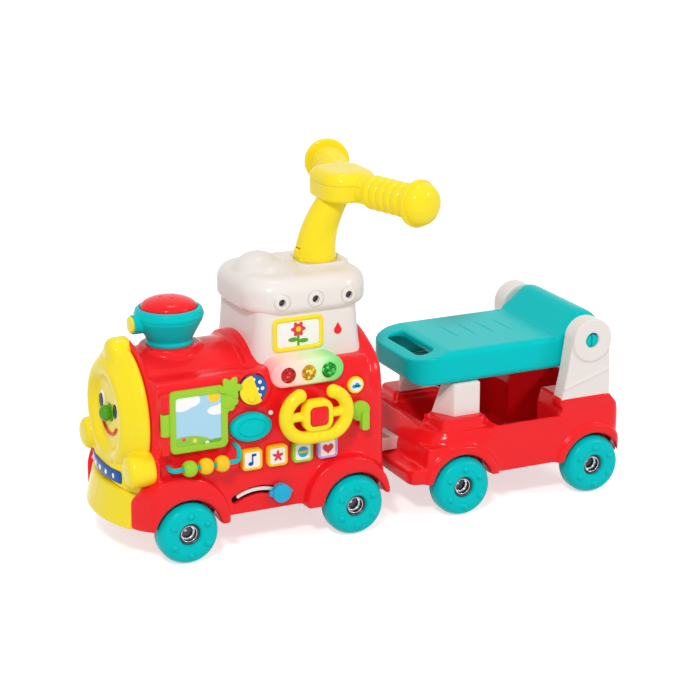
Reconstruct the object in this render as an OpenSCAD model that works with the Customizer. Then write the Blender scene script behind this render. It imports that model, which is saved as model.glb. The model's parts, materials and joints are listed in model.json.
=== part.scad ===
// Ride-on train: an engine with a play panel, and a tow wagon with a lifting seat.
// The front is at -X, the play side at -Y, and the floor at Z = 0.

/* [Running gear] */
// Radius of every wheel
wheel_r = 39; // [37:0.5:41]
// Width of every wheel
wheel_w = 32; // [30:0.5:33]
// How far the wheels stand out of the fenders
wheel_rise = 4; // [2:0.5:7]
// Rounding of the wheel shoulders
shoulder_r = 11; // [6:0.5:13]
// Radius of the well in the middle of a wheel
hub_well_r = 13.5; // [12.5:0.5:16]
// Depth of that well
hub_well_depth = 16; // [13:0.5:18]
// Radius of the six small bumps on a wheel
bump_r = 4; // [3:0.5:5]
// Radius of the steel axles
axle_r = 3; // [2.5:0.1:3.5]
// Radius of the pressed caps on the axle ends
cap_r = 11; // [9:0.5:12]
// Length of those caps
cap_l = 9; // [7:0.5:10]
// Space between a wheel and its arch
arch_gap = 4; // [3:0.5:5]
// Front axle of the engine in X
loco_front_x = -265; // [-267:-263]
// Rear axle of the engine
loco_rear_x = -41; // [-44:-38]
// Front axle of the wagon
wagon_front_x = 112; // [110:114]
// Rear axle of the wagon
wagon_rear_x = 305; // [303:307]
// Width of the blocks that carry the axles
axle_block_w = 20; // [16:26]

/* [Engine body] */
// Front of the hollow body, behind its flange
body_front_x = -297; // [-300:-295]
// Rear of the body
body_rear_x = 10; // [6:14]
// Half width of the body, which is the radius of the boiler
body_half_w = 94; // [91:0.5:97]
// Top of the boiler
body_top_z = 248; // [244:252]
// Underside of the body
body_floor_z = 48; // [45:0.5:51]
// Wall of the moulded pieces
wall = 3; // [2.5:0.1:3.5]
// Thickness of the underside plate
base_t = 4; // [3:0.5:5]
// Rounding of the rear upright corners
rear_corner_r = 22; // [14:28]
// Rounding of the rear top edge
rear_top_r = 40; // [30:44]
// Front of the raised part under the tower
saddle_x = -168; // [-172:-160]
// Rise of that part above the boiler
saddle_rise = 7; // [4:0.5:9]
// Rear end of the flat play panel
panel_rear_x = -14; // [-17:-11]
// Top of the flat play panel
panel_top_z = 228; // [225:231]
// Rounding of its top edge
panel_edge_r = 14; // [8:18]
// How far the fenders stand out of the body
fender_rise = 16; // [13:0.5:18]
// Radius of the front fenders
front_fender_r = 66; // [62:68]
// How far the front fender's centre lies ahead of its axle
front_fender_lead = 10; // [6:12]
// Radius of the rear fenders
rear_fender_r = 58; // [54:60]
// How far the rear fender's centre lies ahead of its axle
rear_fender_lead = 8; // [5:11]
// Height of the fender centres above the axles
fender_lift = 8; // [5:0.5:10]

/* [Front] */
// Reach of the cowcatcher ahead of the body
nose_l = 53.5; // [50:0.5:57]
// Radius of the rounded nose, seen from above
nose_plan_r = 165; // [155:175]
// Inset of the cowcatcher in the body's width
cow_inset = 18; // [18:0.5:22]
// Lower edge of the cowcatcher and the front fenders
cow_floor_z = 44; // [42:0.5:46]
// Top of the cowcatcher
cow_top_z = 88; // [84:0.5:90]
// How far the cowcatcher leans back over its height
cow_lean = 10; // [4:0.5:14]
// Thickness of the flange behind the face
flange_t = 5; // [4:0.5:6]
// Inset of the flange in the body's width
flange_inset = 2; // [1:0.5:4]
// Inset of the face drum in the flange
face_inset = 9; // [7:0.5:11]
// Inset of the middle of the raised ring's bead in the face drum
ring_inset = 26; // [25:0.5:27]
// Radius of that bead
ring_bead_r = 15; // [14:0.5:15.5]
// Depth of the face drum behind the ring's bead
face_drum_l = 16; // [15:0.5:17]
// Height of the face's sunk floor above the flange
face_floor_l = 22.5; // [20:0.5:24]
// Radius of the nose button
nose_r = 10.5; // [9:0.5:12]
// Inset of the middles of the side drums in the body's width
drum_inset = 15; // [14:0.5:17]
// Height of the side drums
drum_z = 120; // [118:0.5:122]
// Radius of the side drums
drum_r = 20; // [18:0.5:21]
// Straight length of the side drums, up to their domed ends
drum_l = 6; // [4:0.5:9]
// Radius of the bumper band between them
band_r = 14; // [12:0.5:14]
// Distance of the bumper band's middle from the flange
band_l = 22; // [19:0.5:24]
// Inset of the middle of the lamp bump in the face drum
bump_inset = 14; // [12:0.5:16]
// Radius of the lamp bump
lamp_bump_r = 15; // [13:0.5:16]
// Width of the blue plate on the band
plate_w = 98; // [90:104]
// Height of the blue plate
plate_h = 15; // [12:0.5:17]
// Thickness of the blue plate
plate_t = 3; // [2:0.5:4]

/* [Chimney] */
// Middle of the chimney in X
chimney_x = -244; // [-247:-241]
// Radius of its foot
chimney_foot_r = 27; // [25:0.5:29]
// Width of the red step round its foot
chimney_step = 11; // [8:0.5:13]
// Radius of its rim
chimney_rim_r = 42; // [40:0.5:43]
// Height of its rim
chimney_rim_z = 297; // [294:0.5:300]
// Height of the bowl's floor under the rim
bowl_depth = 14; // [12:0.5:16]
// Radius of the press dome
dome_r = 35; // [33:0.5:36]
// Rise of the press dome above its edge
dome_rise = 17; // [14:0.5:19]
// Travel of the press dome
dome_travel = 4; // [3:0.5:5]
// Height of the chimney lamp
chimney_lamp_z = 279; // [277:0.5:281]
// Radius of the chimney lamp's tube
chimney_lamp_r = 12; // [10:0.5:13]
// Reach of that tube from the middle of the chimney
chimney_lamp_l = 49; // [46:0.5:52]

/* [Cab] */
// Middle of the tower in X
tower_x = -84; // [-87:-81]
// Length of the tower
tower_l = 141; // [137:145]
// Inset of the tower in the body's width
tower_inset = 26; // [24:0.5:29]
// Rounding of its upright corners
tower_r = 18; // [14:19]
// Height where the tower ends and the roof begins
roof_z = 288; // [284:292]
// Middle of the roof in X
roof_x = -80; // [-83:-77]
// Length of the roof
roof_l = 163; // [158:166]
// How far the roof stands out beside the tower
roof_lip = 6; // [4:0.5:8]
// Height of the roof
roof_h = 44; // [43.5:0.5:47]
// Rounding of the roof seen from above
roof_plan_r = 45; // [36:48]
// Rounding of the roof's upper edges
roof_edge_r = 26; // [22:0.5:28]
// Rounding of the roof's lower edges
roof_under_r = 10; // [6:0.5:12]
// Radius of the hump on the roof
hump_r = 28; // [25:0.5:30]
// Middle of that hump in X
hump_x = -129; // [-131:0.5:-127]
// Radius of the sunk rings round the roof screws
well_r = 9.8; // [8:0.2:11]
// Radius of the roof screws
screw_r = 4.1; // [3:0.1:5]
// Distance between the roof screws
screw_step = 45; // [42:0.5:47]
// Length of the picture plaque
plaque_l = 68; // [62:72]
// Height of the picture plaque
plaque_h = 43; // [39:44]
// Middle of the plaque in X
plaque_x = -101; // [-103:0.5:-99]
// Height of the plaque's middle
plaque_z = 262; // [261:0.5:263]
// Length of the signal capsule
signal_l = 97; // [92:100]
// Height of the signal capsule
signal_h = 33; // [30:0.5:34]
// Middle of the signal capsule in X
signal_x = -101; // [-103:0.5:-99]
// Height of its middle
signal_z = 220.5; // [220:0.5:222]
// Radius of the signal lenses
lens_r = 10; // [8:0.5:11]
// Distance between the signal lenses
lens_step = 27; // [25:0.5:28]

/* [Handlebar] */
// Foot of the handle stem in X
stem_x = -46; // [-48:0.5:-44]
// Radius of the stem at its foot
stem_foot_r = 27; // [25:0.5:28]
// Radius of the stem at its top
stem_top_r = 20; // [18:0.5:21]
// Lean of the stem towards the rear, from foot to top
stem_lean = 30; // [26:0.5:34]
// Height of the grips' axis
grip_z = 426; // [422:0.5:430]
// Sweep of the grips, degrees
grip_sweep = 16.6; // [14:0.2:20]
// Radius of the grips
grip_r = 20.5; // [18:0.5:21]
// Radius of the flanges at the grip ends
grip_flange_r = 28.5; // [25:0.5:29.5]
// Inner end of a grip from the middle of the bar
grip_start = 52; // [50:0.5:56]
// Length of the ribbed part of a grip
grip_l = 83; // [79:0.5:86]
// Length of the handle head
head_l = 75; // [70:0.5:78]
// Half width of the handle head
head_half_w = 44; // [40:0.5:46]
// Height of the handle head
head_h = 44; // [43:0.5:48]

/* [Play panel] */
// Vertical axis of the door hinge in X
hinge_x = -290; // [-291:0.5:-289]
// Radius of the hinge barrel
barrel_r = 5.5; // [5:0.1:6]
// Width of the door
door_w = 75; // [72:0.5:77]
// Height of the door
door_h = 78; // [75:0.5:80]
// Height of the door's middle
door_z = 180.5; // [180:0.5:182]
// Thickness of the door
door_t = 6; // [5:0.5:7]
// Width of the door's rim round its picture
door_rim = 8; // [6:0.5:10]
// Height of the bead rod
rod_z = 124.5; // [124:0.5:126]
// Distance of the rod from the panel
rod_gap = 17; // [15.5:0.5:19]
// Radius of the rod
rod_r = 2.8; // [2.4:0.1:3.2]
// Radius of the beads
bead_r = 11; // [10:0.5:12]
// Length of a bead
bead_l = 17; // [16:0.5:17.5]
// Middle bead in X
bead_x = -243; // [-244:0.5:-242]
// Distance between the beads
bead_step = 21; // [20:0.5:21.5]
// Middle of the dial in X
dial_x = -174; // [-175:0.5:-173]
// Height of the dial's middle
dial_z = 208; // [207:0.5:209]
// Radius of the dial
dial_r = 18.5; // [17:0.5:19]
// Middle of the oval button in X
oval_x = -178; // [-179:0.5:-177]
// Height of its middle
oval_z = 161; // [160:0.5:162]
// Half length of the oval button
oval_a = 27; // [25:0.5:28]
// Half height of the oval button
oval_b = 18; // [16:0.5:19]
// Middle of the steering wheel in X
steer_x = -97; // [-98:0.5:-96]
// Height of its middle
steer_z = 170; // [169:0.5:171]
// Distance of its rim from the panel
steer_gap = 20; // [18.5:0.5:22]
// Radius of its rim's tube
steer_tube_r = 8.5; // [7.5:0.5:9]
// Radius of the two bends of its rim
steer_bend_r = 28.5; // [26:0.5:29]
// Half distance between those bends
steer_half_gap = 13; // [11:0.5:14]
// Middle of the round button in X
round_x = -35.5; // [-36:0.5:-35]
// Height of its middle
round_z = 194; // [193:0.5:195]
// Radius of the round button
round_r = 11; // [9:0.5:12]
// Middle of the shift lever in X
lever_x = -30; // [-30.5:0.5:-29]
// Height of its middle
lever_z = 160; // [159:0.5:161]
// Radius of the shift lever's disc
lever_r = 13; // [11:0.5:13.5]
// Reach of the shift lever's arm
lever_l = 24; // [20:0.5:26]
// First square button in X
square_x = -177; // [-178:0.5:-176]
// Height of the square buttons
square_z = 118.5; // [118:0.5:119]
// Distance between the square buttons
square_step = 34; // [33:0.5:35]
// Side of a square button
square_w = 27; // [24:0.5:28]
// How far buttons stand out of the panel
button_rise = 6; // [4:0.5:8]
// Travel of the panel buttons
button_travel = 3; // [2:0.5:3.5]
// Middle of the slider's arc in X
slide_x = -167; // [-168:0.5:-166]
// Radius of the slider's arc
slide_r = 62; // [60:0.5:64]
// Height of the slider's arc above its middle
slide_z = 76; // [75:0.5:77]
// Half angle of the slider's arc, degrees
slide_half_angle = 27; // [24:0.5:28]
// Radius of the slider knob
knob_r = 12; // [10:0.5:12.5]

/* [Wagon] */
// Front skirt of the wagon
skirt_x = 40; // [37:43]
// Top of the front skirt
skirt_z = 66; // [62:0.5:68]
// Front wall of the wagon
tub_front_x = 62; // [59:0.5:65]
// Length of the wagon behind its rear axle
wagon_tail_l = 45.5; // [42:0.5:49]
// Inset of the wagon in its fenders
wagon_inset = 6; // [4:0.5:9]
// Rounding of its corners seen from above
wagon_corner_r = 16; // [12:22]
// Straight half width of the upper front seen from above
brow_flat = 6; // [4:14]
// Front of the upper part of the wagon
brow_x = 78; // [75:0.5:80]
// Height where the upper part of the wagon begins
wagon_brow_z = 94; // [90:0.5:98]
// Height of the side rims
rim_z = 112; // [108:0.5:115]
// Height of the deck under the front posts
front_deck_z = 121; // [119:0.5:124]
// Height of the deck under the rear posts
rear_deck_z = 132; // [129:0.5:135]
// Height of the storage floor
tub_floor_z = 56; // [54:0.5:60]
// Front end of the lowered side rim
rim_front_x = 164; // [162:0.5:167]
// Lead of the lowered side rim on the rear axle
rim_lead = 47; // [45:0.5:50]
// Coupling pin in X
pin_x = -8; // [-10:0.5:-6]
// Radius of the coupling pin
pin_r = 5; // [4:0.1:6]
// Half width of the drawbar
drawbar_half_w = 20; // [18:0.5:21]
// Height of the drawbar's underside
drawbar_z = 70; // [69:0.5:72]
// Thickness of the drawbar
drawbar_h = 17; // [15:0.5:18]

/* [Seat] */
// Lead of the seat's pivot on the rear axle
pivot_lead = 4; // [2:0.5:6]
// Height of that pivot
pivot_z = 210; // [208:0.5:212]
// Radius of the pivot stubs
stub_r = 10; // [8:0.5:11]
// Radius of the rolled backrest
roll_r = 33; // [30:0.5:34]
// Front edge of the seat
seat_front_x = 61.5; // [58:0.5:65]
// Half width of the seat
seat_half_w = 78; // [75:0.5:79]
// Underside of the seat
seat_z = 168; // [166:0.5:170]
// Top of the seat
seat_top_z = 211; // [208:0.5:213]
// How much lower the front edge of the seat is than its top
seat_drop = 12; // [8:0.5:15]
// Length of the slope behind that front edge
seat_slope_l = 50; // [44:56]
// Rounding of the seat's front corners
seat_corner_r = 42; // [34:46]
// Rounding of the seat's edges
seat_edge_r = 9; // [6:0.5:11]
// Space between the seat and the rear posts
post_gap = 3; // [2:0.5:4]
// Thickness of the rear posts
post_w = 23; // [21:0.5:25]
// Radius of the post bosses
boss_r = 28.5; // [26:0.5:29.5]

/* [Hidden] */
$fn = 96;
// Size of a ball that closes a joint between round bars, as a share of their radius
joint_share = 1.04;
// Hinge knuckle and hinge pin, as shares of the door's height and of the barrel
knuckle_share = 0.36;
hinge_pin_share = 0.4;
// Circuit board and its posts, as shares of the signal capsule, the door, the board and a button
board_l_share = 1.5;
board_h_share = 1.35;
post_share = 0.416;
low_post_share = 0.72;
// Battery tray and cells, as shares of an axle block, of the tray and of a cell
tray_l_share = 3.6;
tray_w_share = 3.4;
cell_r_share = 0.108;
cell_l_share = 0.77;
cell_step_share = 2.4;
// Drop lens, roof screws and signal capsule, as shares of the wall, of the roof and of the capsule
drop_share = 1.7;
screw_z_share = 0.4;
capsule_share = 0.495;
// Handle head's roundings and the grips' domed ends, as shares of the head and of the flange
head_plan_share = 0.4;
head_edge_share = 0.3;
grip_sink_share = 0.4;
grip_dome_share = 1.05;
// Leaf tab, as shares of the door's rim and height
leaf_share = 0.7;
leaf_z_share = 0.3;
// Width of the dial flap, as a share of its radius, and its turn in degrees
flap_share = 1.25;
flap_turn = 20;
// Place of the indicator lens, as shares of the oval button
lamp_x_share = 1.02;
lamp_z_share = 0.75;
// Rise of the oval and the round button, as shares of the other buttons' rise
oval_rise_share = 1.8;
round_rise_share = 0.8;
// Bends of the steering wheel's rim, degrees
rim_start = 110;
rim_angle = 160;
// Steering wheel's hub and spokes, as shares of its horn button and of its tube
hub_share = 0.74;
spoke_share = 0.7;
// Arm of the shift lever, as a share of its disc
lever_share = 0.8;
// Place of the bumps on a wheel, as a share of its radius
bump_share = 0.62;
// Seat's rim, hand slot and hollow backrest, as shares of its half width, of the rim and of the roll
seat_rim_share = 0.15;
slot_x_share = 2.4;
slot_l_share = 1.25;
slot_r_share = 0.8;
roll_hollow_share = 0.7;
// Clear space between pieces that move past each other
fit = 0.4;
// Radial play of a shaft in its bore
play = 0.07;
// Overrun of every cut
over = 2;
// Panel length that places and sizes are drawn for, and its stretch
panel_drawn_l = 283;
stretch = (panel_rear_x - body_front_x) / panel_drawn_l;
function along(x) = panel_rear_x + (x - panel_rear_x) * stretch;
hinge_at = along(hinge_x);
bead_at = along(bead_x);
dial_at = along(dial_x);
oval_at = along(oval_x);
steer_at = along(steer_x);
square_at = along(square_x);
slide_at = along(slide_x);
signal_at = along(signal_x);
plaque_at = along(plaque_x);
tower_at = along(tower_x);
roof_at = along(roof_x);
hump_at = along(hump_x);
chimney_at = along(chimney_x);
stem_at = along(stem_x);
loco_front_at = along(loco_front_x);
saddle_at = along(saddle_x);
door_w_s = door_w * stretch;
bead_step_s = bead_step * stretch;
bead_l_s = bead_l * stretch;
dial_r_s = dial_r * stretch;
oval_a_s = oval_a * stretch;
square_step_s = square_step * stretch;
square_w_s = square_w * stretch;
steer_bend_r_s = steer_bend_r * stretch;
steer_half_gap_s = steer_half_gap * stretch;
slide_r_s = slide_r * stretch;
signal_l_s = signal_l * stretch;
lens_step_s = lens_step * stretch;
lens_r_s = lens_r * stretch;
plaque_l_s = plaque_l * stretch;
tower_l_s = tower_l * stretch;
roof_l_s = roof_l * stretch;
screw_step_s = screw_step * stretch;
front_x = body_front_x - nose_l;
wagon_end_x = wagon_rear_x + wagon_tail_l;
// A length that reaches past the whole train
reach = body_rear_x - front_x + wagon_end_x;
axle_z = wheel_r;
fender_y = body_half_w + fender_rise;
wheel_face_y = fender_y + wheel_rise;
rod_y = body_half_w + rod_gap;
steer_y = body_half_w + steer_gap;
drum_y = body_half_w - drum_inset;
cow_half_w = body_half_w - cow_inset;
flange_r = body_half_w - flange_inset;
face_r = flange_r - face_inset;
ring_r = face_r - ring_inset;
face_z = cow_top_z + face_r;
bump_z = face_z + face_r - bump_inset;
tower_half_w = body_half_w - tower_inset;
roof_half_w = tower_half_w + roof_lip;
rim_rear_x = wagon_rear_x - rim_lead;
pivot_x = wagon_rear_x - pivot_lead;
post_in_y = seat_half_w + post_gap;
wagon_half_w = post_in_y + post_w;
wagon_brow_r = wagon_half_w - brow_flat;
wagon_fender_y = wagon_half_w + wagon_inset;
wagon_face_y = wagon_fender_y + wheel_rise;
wagon_in_y = wagon_face_y - wheel_w;
wagon_well_y = wagon_in_y - wall;
saddle_top_z = body_top_z + saddle_rise;
arch_r = wheel_r + arch_gap;
wheel_in_y = wheel_face_y - wheel_w;
well_in_y = wheel_in_y - wall;
boiler_z = body_top_z - body_half_w;
panel_y = -body_half_w;
panel_in_y = panel_y + wall;
panel_depth = body_half_w / 2;
flange_x = body_front_x - flange_t;
flange_rim = flange_t;
nose_x = front_x + nose_plan_r;
face_floor_x = flange_x - face_floor_l;
band_plan_r = nose_x - flange_x + band_l + band_r;
face_wall = wall + fit;
foot_z = body_top_z - chimney_foot_r / 2;
bowl_z = chimney_rim_z - bowl_depth;
dome_edge_z = chimney_rim_z - dome_travel;
dome_ball_r = (dome_r * dome_r + dome_rise * dome_rise) / (2 * dome_rise);
roof_top_z = roof_z + roof_h;
stem_joint_z = roof_top_z + wall;
stem_top_z = grip_z - head_h / 4;
stem_sections = 6;
// Tilt of the stem at its top, degrees
stem_tilt = 30;
head_x = stem_at + stem_lean + head_half_w / 5;
door_y = panel_y - fit - door_t;
hinge_y = panel_y - barrel_r - fit;
door_left_x = hinge_at + barrel_r + fit;
knuckle_h = door_h * knuckle_share;
hinge_pin_r = barrel_r * hinge_pin_share;
flange_lip = wall;
flange_gap_y = panel_in_y + fit;
slide_pivot_z = slide_z - slide_r_s;
speaker_z = boiler_z - 3 * lens_r_s;
knob_neck_r = knob_r / 4;
rod_bend_r = 2 * rod_r;
seat_rim = seat_half_w * seat_rim_share;
sides = [-1, 1];

// Extrudes a Y, Z outline from x0 to x1
module along_x(x0, x1) {
  translate([x0, 0, 0])
    rotate([90, 0, 90])
      linear_extrude(x1 - x0)
        children();
}

// Extrudes an X, Z outline from y0 to y1
module along_y(y0, y1) {
  translate([0, y1, 0])
    rotate([90, 0, 0])
      linear_extrude(y1 - y0)
        children();
}

// Round bar from a point towards the front
module front_rod(x, y, z, r, h) {
  translate([x, y, z])
    rotate([0, -90, 0]) cylinder(r = r, h = h);
}

// Extrudes an X, Y outline from z0 to z1
module along_z(z0, z1) {
  translate([0, 0, z0])
    linear_extrude(z1 - z0)
      children();
}

// Rectangle with rounded corners, about the origin
module round_rect(w, h, r) {
  square([w - 2 * r, h], center = true);
  square([w, h - 2 * r], center = true);
  for (sx = sides, sy = sides)
    translate([sx * (w / 2 - r), sy * (h / 2 - r)]) circle(r);
}

// Ellipse about the origin
module oval(a, b) {
  polygon([for (t = [0 : 5 : 355]) [a * cos(t), b * sin(t)]]);
}

// Block that is rounded in all three views
module soft_block(l, w, h, plan_r, edge_r) {
  intersection() {
    along_z(-h / 2, h / 2) round_rect(l, w, plan_r);
    along_y(-w / 2, w / 2) round_rect(l, h, edge_r);
    along_x(-l / 2, l / 2) round_rect(w, h, edge_r);
  }
}

// Outline of the roof in a side view, about the middle of its underside
module roof_outline(w) {
  r = roof_under_r;
  translate([-w / 2, r]) square([w, roof_h - r - roof_edge_r]);
  translate([r - w / 2, 0]) square([w - 2 * r, roof_h - roof_edge_r]);
  translate([roof_edge_r - w / 2, r]) square([w - 2 * roof_edge_r, roof_h - r]);
  for (s = sides) {
    translate([s * (w / 2 - r), r]) circle(r);
    translate([s * (w / 2 - roof_edge_r), roof_h - roof_edge_r]) circle(roof_edge_r);
  }
}

// Half space on the near or the far side of the centre plane
module half(side) {
  translate([-reach, side < 0 ? -reach : 0, -reach]) cube([2 * reach, reach, 2 * reach]);
}

// Upright disc on the panel
module panel_disc(x, z, r, y0, y1) {
  along_y(y0, y1) translate([x, z]) circle(r);
}

// Cross section of the boiler, t inside its outer face
module boiler_section(t) {
  r = body_half_w - t;
  drop = over * sign(t);
  translate([0, boiler_z]) circle(r);
  translate([-r, body_floor_z - saddle_rise - drop])
    square([2 * r, boiler_z - body_floor_z + saddle_rise + drop]);
}

// Cross section of the flat play panel, t inside its outer face
module panel_section(t) {
  w = body_half_w - t;
  top = panel_top_z - t;
  translate([-w, boiler_z]) square([panel_depth, top - panel_edge_r - boiler_z]);
  translate([-w + panel_edge_r, boiler_z]) square([panel_depth - panel_edge_r, top - boiler_z]);
  translate([-w + panel_edge_r, top - panel_edge_r]) circle(panel_edge_r);
}

// The body seen from above, t inside its outer face
module body_plan(t) {
  w = body_half_w - t;
  rear = body_rear_x - t;
  r = rear_corner_r - t;
  translate([body_front_x, -w]) square([rear - r - body_front_x, 2 * w]);
  translate([body_front_x, r - w]) square([rear - body_front_x, 2 * (w - r)]);
  for (s = sides)
    translate([rear - r, s * (w - r)]) circle(r);
}

// The body seen from the side, t inside its outer face
module body_side(t) {
  rear = body_rear_x - t;
  top = saddle_top_z - t;
  r = rear_top_r - t;
  drop = over * sign(t);
  translate([body_front_x, body_floor_z - drop])
    square([rear - body_front_x, top - r - body_floor_z + drop]);
  translate([body_front_x, boiler_z]) square([rear - r - body_front_x, top - boiler_z]);
  translate([rear - r, top - r]) circle(r);
}

// Solid of the engine body, t inside its outer face
module body_form(t) {
  drop = over * sign(t);
  intersection() {
    union() {
      along_x(body_front_x, body_rear_x - t) boiler_section(t);
      along_x(body_front_x + t, panel_rear_x - t) panel_section(t);
      along_x(saddle_at + t, body_rear_x - t) translate([0, saddle_rise]) boiler_section(t);
      translate([chimney_at, 0, boiler_z])
        cylinder(r = chimney_foot_r + chimney_step - t, h = body_half_w + wall - t);
    }
    along_z(body_floor_z - drop, saddle_top_z) body_plan(t);
    along_y(-body_half_w, body_half_w) body_side(t);
  }
}

// Flange between the body and the face, drawn in Y and Z
module flange_outline() {
  translate([0, face_z]) circle(flange_r);
  for (s = sides)
    translate([s * drum_y, drum_z]) circle(drum_r + flange_rim);
  translate([0, bump_z]) circle(lamp_bump_r + flange_rim / 2);
  translate([-body_half_w, body_floor_z]) square([2 * body_half_w, drum_z - body_floor_z]);
}

// The rounded nose and the long sides, seen from above, as a tall limit
module plan_limit() {
  translate([nose_x, 0, cow_floor_z]) cylinder(r = nose_plan_r, h = reach);
  translate([nose_x, -reach, body_floor_z]) cube([reach, 2 * reach, reach]);
}

// Fender disc between two distances from the centre plane
module fender_disc(side, hub_x, r, lead, y0, y1) {
  along_y(side < 0 ? -y1 : y0, side < 0 ? -y0 : y1)
    translate([hub_x - lead, axle_z + fender_lift]) circle(r);
}

// Both fenders of one side
module fenders(side) {
  root_y = body_half_w - wall / 2;
  intersection() {
    union() {
      fender_disc(side, loco_front_at, front_fender_r, front_fender_lead, root_y, fender_y);
      fender_disc(side, loco_rear_x, rear_fender_r, rear_fender_lead, root_y, fender_y);
      intersection() {
        fender_disc(side, loco_front_at, front_fender_r, front_fender_lead, cow_half_w, fender_y);
        translate([flange_x - reach, -reach, 0]) cube([reach, 2 * reach, reach]);
      }
    }
    plan_limit();
  }
}

// Wheel arch of one wheel: a cup in the body, or the hole in it
module arch(side, hub_x, r, y0, y1, z0 = body_floor_z) {
  intersection() {
    along_y(side < 0 ? -y1 : y0, side < 0 ? -y0 : y1)
      translate([hub_x, axle_z]) circle(r);
    translate([-reach, -reach, z0]) cube([2 * reach, 2 * reach, reach]);
  }
}

// Half outline of a round stud with a domed end
module domed_profile(r, h) {
  square([r, h]);
  intersection() {
    translate([0, h]) circle(r);
    translate([0, h]) square([r, r]);
  }
}

// Side drums of the face
module drums() {
  for (s = sides)
    translate([flange_x, s * drum_y, drum_z])
      rotate([0, -90, 0])
        rotate_extrude()
          domed_profile(drum_r, drum_l);
}

// Curved slot of the slider, drawn in X and Z
module slide_slot(half_w) {
  far = slide_r_s + 2 * half_w;
  translate([slide_at, slide_pivot_z]) {
    intersection() {
      difference() {
        circle(slide_r_s + half_w);
        circle(slide_r_s - half_w);
      }
      polygon([
        [0, 0],
        [-2 * far * sin(slide_half_angle), 2 * far * cos(slide_half_angle)],
        [2 * far * sin(slide_half_angle), 2 * far * cos(slide_half_angle)]
      ]);
    }
    for (s = sides)
      translate([s * slide_r_s * sin(slide_half_angle), slide_r_s * cos(slide_half_angle)])
        circle(half_w * joint_share);
  }
}

// Openings in the play panel for everything that moves in it
module panel_cuts() {
  y0 = panel_y - over;
  y1 = panel_in_y + over;
  along_y(y0, y1) translate([oval_at, oval_z]) oval(oval_a_s + fit, oval_b + fit);
  panel_disc(round_x, round_z, round_r + fit, y0, y1);
  for (i = [0 : 3])
    along_y(y0, y1)
      translate([square_at + i * square_step_s, square_z])
        round_rect(square_w_s + 2 * fit, square_w_s + 2 * fit, square_w_s / 5);
  panel_disc(steer_at, steer_z, steer_tube_r + play, y0, y1);
  panel_disc(lever_x, lever_z, lever_r / 2 + play, y0, y1);
  panel_disc(dial_at, dial_z, dial_r_s / 4 + play, y0, y1);
  along_y(y0, y1) slide_slot(knob_neck_r + fit);
}

// Posts inside the near shell that carry the circuit board
module board_posts() {
  for (sx = sides, z = [square_z + square_w_s * low_post_share, steer_z + board_h() * post_share])
    panel_disc(signal_at + sx * board_l() * post_share, z, wall, panel_in_y - wall / 2, board_y());
}
function board_l() = signal_l_s * board_l_share;
function board_h() = door_h * board_h_share;
function board_y() = panel_in_y + 7 * wall;

// Fixed hinge knuckles above and below the door's own
module fixed_knuckles() {
  low = door_z - door_h / 2;
  high = door_z + door_h / 2;
  low_end = door_z - knuckle_h / 2 - fit;
  high_start = door_z + knuckle_h / 2 + fit;
  for (span = [[low, low_end], [high_start, high - barrel_r]])
    difference() {
      union() {
        translate([hinge_at, hinge_y, span[0]]) cylinder(r = barrel_r, h = span[1] - span[0]);
        translate([hinge_at - barrel_r, hinge_y, span[0]])
          cube([barrel_r, panel_y - hinge_y + wall / 2, span[1] - span[0]]);
      }
      translate([hinge_at, hinge_y, span[0] - over])
        cylinder(r = hinge_pin_r + play, h = span[1] - span[0] + 2 * over);
    }
}

// One half of the engine's shell
module loco_shell(side) {
  difference() {
    union() {
      intersection() {
        difference() {
          union() {
            body_form(0);
            along_x(flange_x, body_front_x) flange_outline();
          }
          body_form(wall);
        }
        half(side);
      }
      difference() {
        fenders(side);
        front_rod(flange_x, side * drum_y, drum_z, drum_r, reach);
        translate([flange_x - reach, -drum_y, cow_top_z]) cube([reach, 2 * drum_y, reach]);
      }
      for (x = [loco_front_at, loco_rear_x])
        arch(side, x, arch_r + wall, well_in_y - wall, body_half_w);
    }
    for (x = [loco_front_at, loco_rear_x])
      arch(side, x, arch_r, well_in_y, fender_y + over, 0);
    translate([pin_x - 2 * drawbar_half_w, -1.5 * drawbar_half_w, drawbar_z - wall])
      cube([reach, 3 * drawbar_half_w, drawbar_h + 2 * wall]);
    translate([flange_x - over, -nose_r * 2, face_z - nose_r * 2])
      cube([flange_t + 2 * over, nose_r * 4, nose_r * 4]);
  }
}

module loco_shell_near() {
  color("red") {
    difference() {
      loco_shell(-1);
      panel_cuts();
    }
    fixed_knuckles();
    board_posts();
  }
}

module loco_shell_far() {
  color("red")
    difference() {
      loco_shell(1);
      for (a = [0 : 60 : 300], k = [1, 2])
        translate([signal_at + k * lens_r_s * cos(a), 0, speaker_z + k * lens_r_s * sin(a)])
          rotate([-90, 0, 0]) cylinder(r = axle_r / 2, h = reach);
    }
}

// Block under the body that holds one axle
module axle_block(x, half_w, top_z) {
  difference() {
    translate([x - axle_block_w / 2, -half_w, axle_z - axle_block_w / 2])
      cube([axle_block_w, 2 * half_w, top_z - axle_z + axle_block_w / 2]);
    translate([x, -half_w - over, axle_z])
      rotate([-90, 0, 0]) cylinder(r = axle_r, h = 2 * (half_w + over));
  }
}

// Outline of the battery opening, seen from above
function tray_l() = axle_block_w * tray_l_share;
function tray_w() = axle_block_w * tray_w_share;
function tray_x() = (loco_front_at + loco_rear_x) / 2;
module tray_block(t, z0, z1) {
  translate([tray_x() - tray_l() / 2 - t, -tray_w() / 2 - t, z0])
    cube([tray_l() + 2 * t, tray_w() + 2 * t, z1 - z0]);
}

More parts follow.
